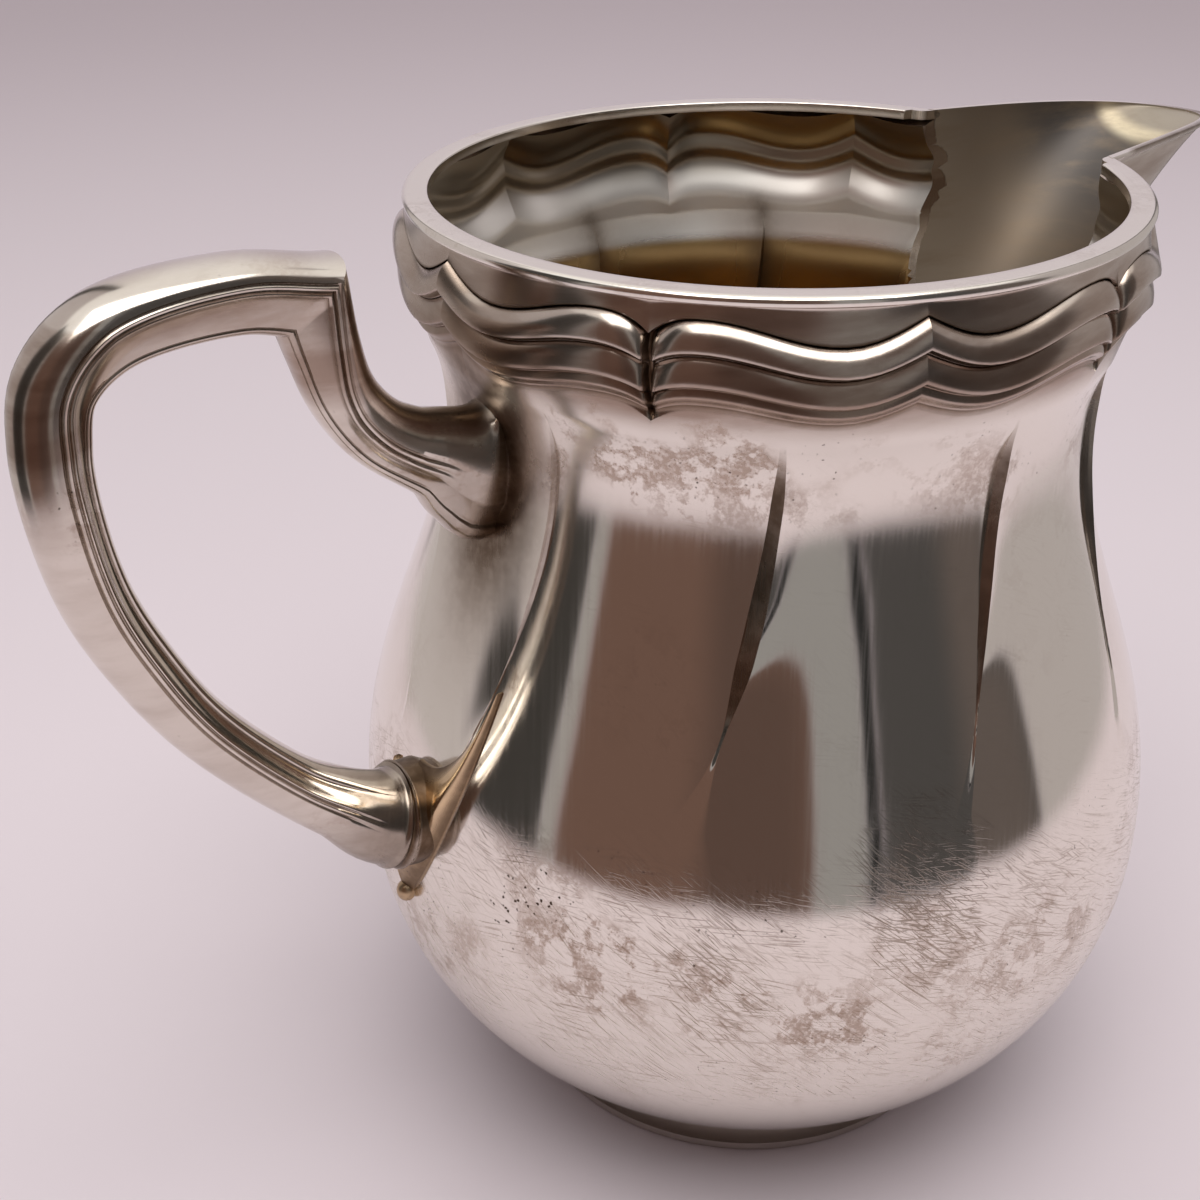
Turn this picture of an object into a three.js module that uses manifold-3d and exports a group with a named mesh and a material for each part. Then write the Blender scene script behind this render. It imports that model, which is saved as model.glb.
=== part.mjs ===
// Milk jug of stamped sheet silver: a bellied body with a waved rim border, an open spout
// and a reeded hollow handle. Millimetres, +Z up. The pieces are drawn about the mouth's axis,
// with the foot on Z = 0, the spout along +X and the handle along -X. The whole jug is then
// slid along X, so that the middle of its overall length lies over the origin.
import * as THREE from 'three';
import { mergeVertices } from 'three/addons/utils/BufferGeometryUtils.js';
import Module from 'manifold-3d';

const wasm = await Module();
wasm.setup();

// Joints: soldered faces keep this gap
const GAP = 0.3;

// Body outline
const WALL = 0.7;
const RIM_HEIGHT = 104;
const BELLY_RADIUS = 43.9;
const BELLY_HEIGHT = 35.5;
const NECK_RADIUS = 32.55;
const NECK_BELOW_RIM = 20.5;
const SHOULDER_POWER = 1.1;
const BOWL_CENTRE_RADIUS = 10;
const BOWL_SINK = 2.8;

// Foot and base
const FOOT_RADIUS = 26.9;
const FOOT_HEIGHT = 4;
const FOOT_FLAT = 3.4;
const FOOT_LEDGE = 3;
const BASE_THICKNESS = 0.9;
const BASE_RISE = 1.2;

// Rim wire
const MOUTH_RADIUS = 33.3;
const RIM_WIDTH = 2.5;
const RIM_THICKNESS = 1;
const RIM_EDGE = 0.35;
const RIM_OVERHANG = 0.5;

// Waved border: mouldings from the top down, lifted and lowered by one wave that dies away downwards
const WAVES = 5;
const WAVE_DEPTH = 2.3;
const WAVE_SHOULDER_DROP = 0.2;
const WAVE_LOWEST_SHARE = 0.65;
const NOTCH_CURL = 1.9;
const FASCIA_HEIGHT = 0.6;
const UPPER_ROLL_HEIGHT = 3;
const UPPER_ROLL_STAND = 1.6;
const LOWER_ROLL_HEIGHT = 2.9;
const LOWER_ROLL_STAND = 1;
const FILLET_HEIGHT = 1.65;
const FILLET_STAND = 0.4;
const LINE_SINK = 0.1;
const BORDER_RETURN = 0.3;
const NECK_STRIP = 2;
const NOTCH_DEPTH = 1.3;

// Creases between the body's panels
const CREASE_BELOW_RIM = 15;
const CREASE_LENGTH = 34;
const CREASE_STEP = 1;
const CREASE_SWING = 10.7;
const CREASE_SWING_POWER = 1.65;
const CREASE_SPREAD = 0.6;

// Spout
const SPOUT_LENGTH = 28;
const SPOUT_SETBACK = 1.8;
const SPOUT_HALF_WIDTH = 13;
const SPOUT_SHEET = 1;
const SPOUT_NOSE = 1.6;
const SPOUT_RISE = 0.3;
const SPOUT_TIP_DROP = 1.4;
const SPOUT_ROOT_DEPTH = 28;
const SPOUT_KEEL_POWER = 1.7;

// Handle
const HANDLE_OUT = 28.9;
const HANDLE_TOP_BELOW_RIM = 1.3;
const HANDLE_HALF_WIDTH = 3.6;
const HANDLE_HALF_DEPTH = 3.2;
const HANDLE_WALL = 0.9;
const LOWER_JOINT_ABOVE_BELLY = 10.5;
const UPPER_JOINT_BELOW_RIM = 21.7;
const JOINT_OVERRUN = 7;

// Crescent seat under the handle's lower end
const SEAT_THICKNESS = 1.6;
const SEAT_HALF_WIDTH = 9;
const SEAT_BOTTOM = 10.5;
const SEAT_TOP = 7;
const SEAT_HORN = 16.5;
const SEAT_FAR_HORN = 8;

// Silver finishes
const POLISHED = { color: 0xcfc8c2, roughness: 0.2, metalness: 1 };
const WORN = { color: 0xbfb6ae, roughness: 0.35, metalness: 1 };
const TARNISHED = { color: 0x9a8468, roughness: 0.4, metalness: 1 };

// Roundness of the turned pieces, stations along the handle, and how far cutters pass the rim
const RIM_SEGMENTS = 60;
const FOOT_SEGMENTS = 48;
const GRIP_STEPS = 22;
const ARM_STEPS = 13;
const CUTTER_HEADROOM = 30;

// Sizes that follow from the ones above
const HALF_WAVE = 180 / WAVES;
const RIM_RADIUS = MOUTH_RADIUS + RIM_WIDTH;
const BORDER_RADIUS = RIM_RADIUS - RIM_OVERHANG;
const BODY_BOTTOM = FOOT_HEIGHT + GAP;
const NECK_HEIGHT = RIM_HEIGHT - NECK_BELOW_RIM;
const FASCIA_TOP = RIM_THICKNESS + GAP;
const FASCIA_END = FASCIA_TOP + FASCIA_HEIGHT;
const MOULDING_END = FASCIA_END + UPPER_ROLL_HEIGHT + LOWER_ROLL_HEIGHT + FILLET_HEIGHT;
const LOWEST_WAVE = WAVE_LOWEST_SHARE * WAVE_DEPTH;
const NECK_TOP = RIM_HEIGHT - MOULDING_END - BORDER_RETURN - LOWEST_WAVE - NECK_STRIP;
const CREASE_TOP = RIM_HEIGHT - CREASE_BELOW_RIM;
const SPOUT_ROOT = RIM_RADIUS - SPOUT_SETBACK;
const SPOUT_REACH = SPOUT_ROOT + SPOUT_LENGTH;
const LOWER_JOINT_HEIGHT = BELLY_HEIGHT + LOWER_JOINT_ABOVE_BELLY;
const UPPER_JOINT_HEIGHT = RIM_HEIGHT - UPPER_JOINT_BELOW_RIM;
const HANDLE_RISE = RIM_HEIGHT - HANDLE_TOP_BELOW_RIM - LOWER_JOINT_HEIGHT;

/** Radius of the plain body at a height, before creases. */
function bodyRadius(z) {
  if (z < BELLY_HEIGHT) {
    const drop = (BELLY_HEIGHT - z) / (BELLY_HEIGHT - FOOT_HEIGHT + BOWL_SINK);
    return BOWL_CENTRE_RADIUS + (BELLY_RADIUS - BOWL_CENTRE_RADIUS) * Math.sqrt(1 - drop * drop);
  }
  const climb = (z - BELLY_HEIGHT) / (NECK_HEIGHT - BELLY_HEIGHT);
  const mean = (BELLY_RADIUS + NECK_RADIUS) / 2;
  return mean + ((BELLY_RADIUS - NECK_RADIUS) / 2) * Math.cos(Math.PI * climb ** SHOULDER_POWER);
}

/** Share of a half wave at an angle from the handle: 0 at a notch, 1 at a cusp. */
function waveShare(angle) {
  return Math.abs((angle % (2 * HALF_WAVE)) - HALF_WAVE) / HALF_WAVE;
}

/** How far the border's lines sink at an angle: curl at the notch, shoulder, trough, sharp cusp. */
function waveDrop(angle) {
  const shoulder = 0.2;
  const trough = 0.71;
  const curlPower = 2.6;
  const share = waveShare(angle);
  if (share < shoulder) {
    return WAVE_SHOULDER_DROP + NOTCH_CURL * (1 - share / shoulder) ** curlPower;
  }
  if (share < trough) {
    const fall = (1 - Math.cos((Math.PI * (share - shoulder)) / (trough - shoulder))) / 2;
    return WAVE_SHOULDER_DROP + (WAVE_DEPTH - WAVE_SHOULDER_DROP) * fall;
  }
  return WAVE_DEPTH * Math.cos((Math.PI / 2) * ((share - trough) / (1 - trough)));
}

/** Share of the wave that reaches a line of the border at a drop below the rim. */
function waveReach(drop) {
  return 1 - ((1 - WAVE_LOWEST_SHARE) * (drop - FASCIA_END)) / (MOULDING_END - FASCIA_END);
}

/** How far the mouldings dip into the notch between two waves. */
function notchDip(angle) {
  const reach = 0.16;
  const share = waveShare(angle);
  return share < reach ? NOTCH_DEPTH * (1 - share / reach) ** 2 : 0;
}

/** How far a panel stands proud or sinks at an angle from the handle, from -0.5 to 0.5. */
function panelHeight(angle) {
  const first = HALF_WAVE / 2;
  const panel = Math.floor((angle - first) / HALF_WAVE);
  if (panel < 0 || panel >= WAVES - 1) {
    return 0.5;
  }
  return panel === 0 ? -0.5 : 0.5 - (angle - first - panel * HALF_WAVE) / HALF_WAVE;
}

/** Point of the body's outer face below the border, or of its inner face when inset by the wall. */
function bodyPoint(angle, z, inset) {
  const span = (CREASE_TOP - z) / CREASE_LENGTH;
  const inCrease = span > 0 && span < 1;
  const step = inCrease ? CREASE_STEP * Math.sin(Math.PI * span) ** 2 : 0;
  const ease = Math.min(1, angle / (HALF_WAVE / 2), (180 - angle) / (HALF_WAVE / 2));
  const swing = CREASE_SWING * Math.min(Math.max(span, 0), 1) ** CREASE_SWING_POWER;
  const nudge = 0.05;
  const slope = (bodyRadius(z + nudge) - bodyRadius(z - nudge)) / (2 * nudge);
  const steep = Math.hypot(1, slope);
  return {
    angle: angle - swing * ease,
    radius: bodyRadius(z) + step * panelHeight(angle) - inset / steep,
    z: z + (inset * slope) / steep,
  };
}

/**
 * Rows of the border from the fascia down: drop below the rim, stand-out, shares of the wave and
 * of the notch, and whether the inner face has the row too.
 */
function borderRows() {
  const rows = [
    { drop: FASCIA_TOP, stand: 0, wave: 0, notch: 0, inside: true },
    { drop: FASCIA_END, stand: -LINE_SINK, wave: 1, notch: 0.3, inside: true },
  ];
  const mouldings = [
    { height: UPPER_ROLL_HEIGHT, stand: UPPER_ROLL_STAND, insideFoot: true },
    { height: LOWER_ROLL_HEIGHT, stand: LOWER_ROLL_STAND, insideFoot: true },
    { height: FILLET_HEIGHT, stand: FILLET_STAND, insideFoot: false },
  ];
  let top = FASCIA_END;
  for (const { height, stand, insideFoot } of mouldings) {
    const head = { drop: top + 0.12 * height, stand: 0.8 * stand, inside: false };
    const crest = { drop: top + 0.5 * height, stand, inside: true };
    const foot = { drop: top + 0.85 * height, stand: 0.7 * stand, inside: insideFoot };
    for (const row of [head, crest, foot]) {
      rows.push({ ...row, wave: waveReach(row.drop), notch: 1 });
    }
    top += height;
  }
  const neckStand = NECK_RADIUS + NECK_STRIP / 2 - BORDER_RADIUS;
  const neckDrop = MOULDING_END + BORDER_RETURN;
  rows.push({ drop: neckDrop, stand: neckStand, wave: WAVE_LOWEST_SHARE, notch: 0, inside: true });
  return rows;
}

/** Point of the border's outer face, or of its inner face when inset by the wall. */
function borderPoint(angle, row, inset) {
  return {
    angle,
    radius: BORDER_RADIUS + row.stand - row.notch * notchDip(angle) - inset,
    z: RIM_HEIGHT - row.drop - row.wave * waveDrop(angle),
  };
}

/** Angles from the handle round to the spout that catch every notch, crease and cusp. */
function columnAngles() {
  const shares = [0, 0.04, 0.1, 0.2, 0.34, 0.5, 0.71, 0.86, 1];
  const angles = [];
  for (let half = 0; half < WAVES; half += 1) {
    const fromCusp = half % 2 === 0;
    for (const share of shares) {
      const place = fromCusp ? 1 - share : share;
      const angle = (half + place) * HALF_WAVE;
      if (share === 0.5) {
        angles.push(angle - CREASE_SPREAD, angle + CREASE_SPREAD);
      } else {
        angles.push(angle);
      }
    }
  }
  const rounded = angles.map((angle) => Number(angle.toFixed(6)));
  return [...new Set(rounded)].sort((a, b) => a - b);
}

const COLUMNS = columnAngles();
const BORDER = borderRows();
const BOWL_STEPS = [0, 0.1, 0.25, 0.45, 0.7, 1];
const NECK_STEPS = [0.2, 0.36, 0.48, 0.58, 0.68, 0.78, 0.88, 1];
const BODY_LEVELS = [
  ...BOWL_STEPS.map((step) => BODY_BOTTOM + step * (BELLY_HEIGHT - BODY_BOTTOM)),
  ...NECK_STEPS.map((step) => BELLY_HEIGHT + step * (NECK_TOP - BELLY_HEIGHT)),
];

/** The body's outer face at one angle, from the foot up to the rim. */
function outerColumn(angle) {
  const levels = BODY_LEVELS.map((z) => bodyPoint(angle, z, 0));
  const border = BORDER.map((row) => borderPoint(angle, row, 0)).reverse();
  return [...levels, ...border];
}

/** The body's inner face at one angle, from the rim down to the foot, with fewer rows. */
function innerColumn(angle) {
  const border = BORDER.filter((row) => row.inside).map((row) => borderPoint(angle, row, WALL));
  const last = BODY_LEVELS.length - 1;
  const levels = BODY_LEVELS.filter((z, level) => level % 2 === 0 || level === last);
  return [...border, ...levels.reverse().map((z) => bodyPoint(angle, z, WALL))];
}

/** Cartesian place of a polar point, side -1 for the right half and 1 for the left. */
function place(point, side, seam) {
  const turn = THREE.MathUtils.degToRad(point.angle);
  const across = Math.max(point.radius * Math.sin(turn), seam);
  return [-point.radius * Math.cos(turn), side * across, point.z];
}

/** Manifold solid from points and triangles; mirrored pieces have their triangles turned. */
function solidOf(points, triangles, mirrored = false) {
  const turned = triangles.map(([a, b, c]) => (mirrored ? [a, c, b] : [a, b, c]));
  const vertProperties = new Float32Array(points.flat());
  const triVerts = new Uint32Array(turned.flat());
  return new wasm.Manifold(new wasm.Mesh({ numProp: 3, vertProperties, triVerts }));
}

/** Manifold solid of a three.js geometry that is closed. */
function solidFrom(geometry) {
  const plain = geometry.clone();
  plain.deleteAttribute('normal');
  plain.deleteAttribute('uv');
  const merged = mergeVertices(plain, 1e-4);
  const vertProperties = new Float32Array(merged.attributes.position.array);
  const triVerts = new Uint32Array(merged.index.array);
  return new wasm.Manifold(new wasm.Mesh({ numProp: 3, vertProperties, triVerts }));
}

/** three.js geometry of a manifold solid. */
function geometryOf(solid) {
  const mesh = solid.getMesh();
  const geometry = new THREE.BufferGeometry();
  const positions = new Float32Array(mesh.vertProperties);
  geometry.setAttribute('position', new THREE.BufferAttribute(positions, 3));
  geometry.setIndex(new THREE.BufferAttribute(new Uint32Array(mesh.triVerts), 1));
  geometry.computeVertexNormals();
  return geometry;
}

/** Triangles of a loft: rings of equal length joined in order, with the same cap on both ends. */
function loftTriangles(rings, count, cap) {
  const triangles = [];
  for (let ring = 0; ring + 1 < rings; ring += 1) {
    for (let step = 0; step < count; step += 1) {
      const next = (step + 1) % count;
      const a = ring * count + step;
      const b = ring * count + next;
      const c = (ring + 1) * count + next;
      const d = (ring + 1) * count + step;
      triangles.push([a, b, c], [a, c, d]);
    }
  }
  const last = (rings - 1) * count;
  for (const [a, b, c] of cap) {
    triangles.push([a, c, b], [last + a, last + b, last + c]);
  }
  return triangles;
}

/** Triangles that fill a flat outline, turned the way the outline runs. */
function capOf(outline) {
  const flat = outline.map(([x, y]) => new THREE.Vector2(x, y));
  const faces = THREE.ShapeUtils.triangulateShape(flat, []);
  const faceArea = THREE.ShapeUtils.area(faces[0].map((corner) => flat[corner]));
  const sameTurn = faceArea * THREE.ShapeUtils.area(flat) > 0;
  return sameTurn ? faces : faces.map(([a, b, c]) => [a, c, b]);
}

/** Half of the body as one sheet, with its border, from the handle's seam to the spout's. */
function bodyHalf(side) {
  const columns = COLUMNS.map((angle) => [...outerColumn(angle), ...innerColumn(angle)]);
  const points = columns.flat().map((point) => place(point, side, GAP / 2));
  const seam = columns[0].map(({ radius, z }) => [radius, z]);
  const triangles = loftTriangles(columns.length, seam.length, capOf(seam));
  return solidOf(points, triangles, side < 0);
}

/** Everything inside the body's outer face grown by a margin, closed over the rim. */
function bodyEnvelope(margin) {
  const points = [];
  const ring = [];
  for (const angle of COLUMNS) {
    ring.push({ angle, side: -1 });
  }
  for (const angle of [...COLUMNS].reverse().slice(1, -1)) {
    ring.push({ angle, side: 1 });
  }
  for (const { angle, side } of ring) {
    const column = outerColumn(angle);
    for (const point of column) {
      const grown = { ...point, radius: point.radius + margin };
      points.push(place(grown, side, 0));
    }
    for (const z of [RIM_HEIGHT - RIM_THICKNESS, RIM_HEIGHT + CUTTER_HEADROOM]) {
      points.push(place({ angle, radius: RIM_RADIUS + margin, z }, side, 0));
    }
  }
  const rows = BODY_LEVELS.length + BORDER.length + 2;
  const triangles = [];
  const bottom = points.length;
  points.push([0, 0, BODY_BOTTOM]);
  points.push([0, 0, RIM_HEIGHT + CUTTER_HEADROOM]);
  for (let column = 0; column < ring.length; column += 1) {
    const here = column * rows;
    const next = ((column + 1) % ring.length) * rows;
    for (let row = 0; row + 1 < rows; row += 1) {
      triangles.push([here + row, next + row, next + row + 1]);
      triangles.push([here + row, next + row + 1, here + row + 1]);
    }
    triangles.push([bottom, next, here]);
    triangles.push([bottom + 1, here + rows - 1, next + rows - 1]);
  }
  return solidOf(points, triangles);
}

/** Half width, lip and keel of the spout's channel at a distance from the axis, for a sheet inset. */
function spoutSection(reach, inset) {
  const tip = SPOUT_REACH - (inset > 0 ? SPOUT_NOSE : 0);
  const share = Math.min((reach - SPOUT_ROOT) / (tip - SPOUT_ROOT), 1);
  const lip = RIM_HEIGHT + SPOUT_RISE - SPOUT_TIP_DROP * Math.max(share, 0) ** 3;
  const depth = (SPOUT_ROOT_DEPTH - inset) * Math.max(1 - share, 0) ** SPOUT_KEEL_POWER;
  return { half: (SPOUT_HALF_WIDTH - inset) * Math.sqrt(1 - share), lip, depth };
}

/** Filled channel of the spout from inside the mouth to its tip, with headroom above its lip. */
function spoutFill(inset, headroom) {
  const sides = 14;
  const stations = 11;
  const crowding = 1.6;
  const start = SPOUT_ROOT - SPOUT_HALF_WIDTH;
  const tip = SPOUT_REACH - (inset > 0 ? SPOUT_NOSE : 0);
  const points = [];
  const outline = [];
  for (let station = 0; station < stations; station += 1) {
    const share = 1 - (1 - station / stations) ** crowding;
    const reach = start + share * (tip - start);
    const { half, lip, depth } = spoutSection(reach, inset);
    for (let side = 0; side <= sides; side += 1) {
      const turn = (Math.PI * side) / sides;
      const top = side === 0 || side === sides ? headroom : 0;
      const across = half * Math.cos(turn);
      const up = lip + top - depth * Math.sin(turn);
      points.push([reach, across, up]);
      if (station === 0) {
        outline.push([across, up]);
      }
    }
  }
  const count = sides + 1;
  const apex = points.length;
  const { lip } = spoutSection(tip, inset);
  points.push([tip, 0, lip + headroom]);
  const triangles = loftTriangles(stations, count, capOf(outline)).filter(
    ([a, b, c]) => Math.min(a, b, c) < (stations - 1) * count,
  );
  for (let side = 0; side < count; side += 1) {
    const next = (side + 1) % count;
    triangles.push([(stations - 1) * count + side, (stations - 1) * count + next, apex]);
  }
  return solidOf(points, triangles, true);
}

/** Handle's line from the lower joint to the mitred corner, then down the arm to the upper joint. */
function handleStations() {
  const lowerRadius = bodyRadius(LOWER_JOINT_HEIGHT);
  const upperRadius = bodyRadius(UPPER_JOINT_HEIGHT);
  // Shares of the handle's reach and rise, half depth and half width as shares, level of the reed
  const grip = [
    [-JOINT_OVERRUN / HANDLE_OUT, 0, 1.7, 1.45, -0.25],
    [0.045, 0, 1.7, 1.45, -0.25],
    [0.145, 0.016, 1.5, 1.32, -0.25],
    [0.287, 0.074, 1.1, 1.08, -0.25],
    [0.446, 0.147, 0.93, 0.94, -0.25],
    [0.713, 0.316, 0.9, 0.9, -0.25],
    [0.865, 0.463, 0.94, 0.94, -0.28],
    [0.955, 0.587, 0.96, 0.97, -0.3],
    [1, 0.73, 0.98, 1, -0.3],
    [1, 0.833, 1, 1, -0.25],
    [0.955, 0.92, 1.02, 1, -0.1],
    [0.8, 0.982, 1.05, 1.02, 0.15],
    [0.436, 1, 1.02, 1.03, 0.3],
    [0.208, 0.979, 1.08, 1.05, 0.3],
  ];
  const corner = grip[grip.length - 1];
  const cornerReach = lowerRadius + corner[0] * HANDLE_OUT;
  const cornerHeight = LOWER_JOINT_HEIGHT + corner[1] * HANDLE_RISE;
  // The same along the arm, as shares of the way from the corner to the upper joint
  const arm = [
    [0, 0, 1.08, 1.05, 0.3],
    [0.054, 0.233, 1, 1, 0.1],
    [0.121, 0.434, 0.97, 0.95, -0.1],
    [0.208, 0.571, 0.98, 0.92, -0.2],
    [0.349, 0.709, 1.03, 0.92, -0.2],
    [0.523, 0.81, 1.13, 0.93, -0.2],
    [0.711, 0.889, 1.38, 0.97, -0.2],
    [0.879, 0.968, 1.94, 1.03, -0.22],
    [1, 1, 2.4, 1.07, -0.24],
    [1.4, 1, 2.4, 1.07, -0.24],
  ];
  const armOut = cornerReach - upperRadius - GAP - WALL;
  const armDrop = cornerHeight - UPPER_JOINT_HEIGHT;
  const gripLine = grip.map(([out, up, ...shape]) => ({
    reach: lowerRadius + out * HANDLE_OUT,
    z: LOWER_JOINT_HEIGHT + up * HANDLE_RISE,
    shape,
  }));
  const armLine = arm.map(([back, down, ...shape]) => ({
    reach: cornerReach - back * armOut,
    z: cornerHeight - down * armDrop,
    shape,
  }));
  const gripStations = sampleLine(gripLine, GRIP_STEPS);
  const armStations = sampleLine(armLine, ARM_STEPS);
  const before = gripStations[gripStations.length - 1].along;
  const after = armStations[0].along;
  const mitre = before.clone().add(after).normalize();
  const stretch = 1 / mitre.dot(before);
  const cornerStation = { ...armStations[0], along: mitre, depth: armStations[0].depth * stretch };
  return [...gripStations.slice(0, -1), cornerStation, ...armStations.slice(1)];
}

/** Evenly spread stations on a smooth line through hand-set points. */
function sampleLine(line, steps) {
  const spots = line.map(({ reach, z }) => new THREE.Vector3(reach, 0, z));
  const shapes = line.map((point) => new THREE.Vector3(...point.shape));
  const path = new THREE.CatmullRomCurve3(spots);
  const shape = new THREE.CatmullRomCurve3(shapes);
  const stations = [];
  for (let step = 0; step <= steps; step += 1) {
    const share = step / steps;
    const at = path.getPoint(share);
    const along = path.getTangent(share);
    const [depth, width, reed] = shape.getPoint(share).toArray();
    stations.push({
      at: new THREE.Vector2(at.x, at.z),
      along: new THREE.Vector2(along.x, along.z).normalize(),
      depth: depth * HANDLE_HALF_DEPTH,
      width: width * HANDLE_HALF_WIDTH,
      reed,
    });
  }
  return stations;
}

/** Half section of the handle: rounded back, two reeds, tapering band, then the hollow's face. */
function handleSection({ depth, width, reed }) {
  const outer = [
    [0, 1],
    [0.42, 0.92],
    [0.76, 0.68],
    [0.95, (0.55 + reed) / 1.7],
    [1, reed + 0.18],
    [0.9, reed + 0.07],
    [0.97, reed - 0.06],
    [0.86, reed - 0.18],
    [0.6, -0.76],
    [0.32, -0.95],
    [0, -1],
  ];
  const hollow = [
    [0, -1],
    [0.42, -0.82],
    [0.78, reed - 0.2],
    [0.88, reed + 0.2],
    [0.68, 0.7],
    [0, 1],
  ];
  const hollowWidth = width - HANDLE_WALL;
  const hollowDepth = depth - HANDLE_WALL;
  return [
    ...outer.map(([across, out]) => [across * width, out * depth]),
    ...hollow.map(([across, out]) => [across * hollowWidth, out * hollowDepth]),
  ];
}

/** One half of the hollow handle, parted on the plane of the spout and the handle. */
function handleHalf(side) {
  const points = [];
  const stations = handleStations();
  for (const station of stations) {
    const outward = new THREE.Vector2(station.along.y, -station.along.x);
    for (const [across, out] of handleSection(station)) {
      const spot = station.at.clone().addScaledVector(outward, out);
      points.push([-spot.x, side * Math.max(across, GAP / 2), spot.y]);
    }
  }
  const outline = handleSection(stations[0]);
  const triangles = loftTriangles(stations.length, outline.length, capOf(outline));
  return solidOf(points, triangles, side > 0);
}

/** Height of a horn's tip, of its fork and of its flank, from its length above the lower joint. */
function hornLevels(length) {
  return {
    tip: LOWER_JOINT_HEIGHT + length,
    fork: LOWER_JOINT_HEIGHT + 0.64 * length,
    flank: LOWER_JOINT_HEIGHT + 0.3 * length,
  };
}

/** Outline of the crescent seat seen along the handle: round bottom, a long and a short horn. */
function seatOutline() {
  const shape = new THREE.Shape();
  const bottom = LOWER_JOINT_HEIGHT - SEAT_BOTTOM;
  const top = LOWER_JOINT_HEIGHT + SEAT_TOP;
  const round = bottom + 0.2 * SEAT_BOTTOM;
  const near = hornLevels(SEAT_HORN);
  const far = hornLevels(SEAT_FAR_HORN);
  const wide = SEAT_HALF_WIDTH;
  shape.moveTo(0, bottom);
  shape.bezierCurveTo(0.55 * wide, round, 1.1 * wide, near.flank, 0.94 * wide, near.tip);
  shape.bezierCurveTo(0.92 * wide, near.fork, 0.75 * wide, top, 0, top);
  shape.bezierCurveTo(-0.75 * wide, top, -0.92 * wide, far.fork, -0.94 * wide, far.tip);
  shape.bezierCurveTo(-1.1 * wide, far.flank, -0.55 * wide, round, 0, bottom);
  return shape;
}

/** Crescent seat: a plate that hugs the body behind the handle's lower end. */
function handleSeat() {
  const options = { depth: 2 * BELLY_RADIUS, bevelEnabled: false, curveSegments: 8 };
  const blank = new THREE.ExtrudeGeometry(seatOutline(), options);
  blank.applyMatrix4(new THREE.Matrix4().makeBasis(
    new THREE.Vector3(0, -1, 0),
    new THREE.Vector3(0, 0, 1),
    new THREE.Vector3(-1, 0, 0),
  ));
  const shell = bodyEnvelope(GAP + SEAT_THICKNESS).subtract(bodyEnvelope(GAP));
  return solidFrom(blank).intersect(shell);
}

/** The seat's side of the body: all that the handle's lower end has to stay clear of. */
function seatClearance() {
  const middle = (LOWER_JOINT_HEIGHT + UPPER_JOINT_HEIGHT) / 2;
  const wide = 4 * BELLY_RADIUS;
  const block = new THREE.BoxGeometry(wide, wide, middle);
  block.translate(0, 0, middle / 2);
  return bodyEnvelope(2 * GAP + SEAT_THICKNESS).intersect(solidFrom(block));
}

/** Ring turned about the axis from an outline of radius and height. */
function turned(outline, segments) {
  const closed = [...outline, outline[0]].map(([radius, z]) => new THREE.Vector2(radius, z));
  const geometry = new THREE.LatheGeometry(closed, segments);
  geometry.rotateX(Math.PI / 2);
  return geometry;
}

/** Flat wire that stiffens the rim, rounded on its outer edge, before it is opened at the spout. */
function rimWire() {
  const top = RIM_HEIGHT;
  const low = RIM_HEIGHT - RIM_THICKNESS;
  const outline = [
    [MOUTH_RADIUS, low],
    [RIM_RADIUS - RIM_EDGE, low],
    [RIM_RADIUS, low + RIM_EDGE],
    [RIM_RADIUS, top - RIM_EDGE],
    [RIM_RADIUS - RIM_EDGE, top],
    [MOUTH_RADIUS, top],
  ];
  return solidFrom(turned(outline, RIM_SEGMENTS));
}

/** Moulded ring that the jug stands on, with a ledge for the base. */
function footRing() {
  const seat = bodyRadius(BODY_BOTTOM);
  const outline = [
    [seat - FOOT_LEDGE, FOOT_HEIGHT],
    [FOOT_RADIUS - FOOT_FLAT, 0],
    [FOOT_RADIUS - RIM_EDGE, 0],
    [FOOT_RADIUS, RIM_EDGE],
    [FOOT_RADIUS, 0.35 * FOOT_HEIGHT],
    [(FOOT_RADIUS + seat) / 2, 0.6 * FOOT_HEIGHT],
    [seat + GAP, FOOT_HEIGHT],
  ];
  return solidFrom(turned(outline, FOOT_SEGMENTS));
}

/** Slightly domed disc that closes the bottom inside the foot. */
function baseDisc() {
  const edge = bodyPoint(0, BODY_BOTTOM, WALL).radius - GAP;
  const outline = [
    new THREE.Vector2(0, BODY_BOTTOM + BASE_RISE),
    new THREE.Vector2(edge - FOOT_LEDGE, BODY_BOTTOM),
    new THREE.Vector2(edge, BODY_BOTTOM),
    new THREE.Vector2(edge, BODY_BOTTOM + BASE_THICKNESS),
    new THREE.Vector2(edge - FOOT_LEDGE, BODY_BOTTOM + BASE_THICKNESS),
    new THREE.Vector2(0, BODY_BOTTOM + BASE_RISE + BASE_THICKNESS),
  ];
  const geometry = new THREE.LatheGeometry(outline, FOOT_SEGMENTS);
  geometry.rotateX(Math.PI / 2);
  return solidFrom(geometry);
}

/** Open spout before its channel is cut: a solid horn set on the outside of the border and neck. */
function spoutHorn() {
  return spoutFill(0, 0).subtract(bodyEnvelope(GAP));
}

/** Named mesh with its own finish. */
function piece(name, solid, finish) {
  const mesh = new THREE.Mesh(geometryOf(solid), new THREE.MeshStandardMaterial(finish));
  mesh.name = name;
  return mesh;
}

const spoutOpening = spoutFill(SPOUT_SHEET, CUTTER_HEADROOM);
const handleClearance = bodyEnvelope(GAP).add(seatClearance());

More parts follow.
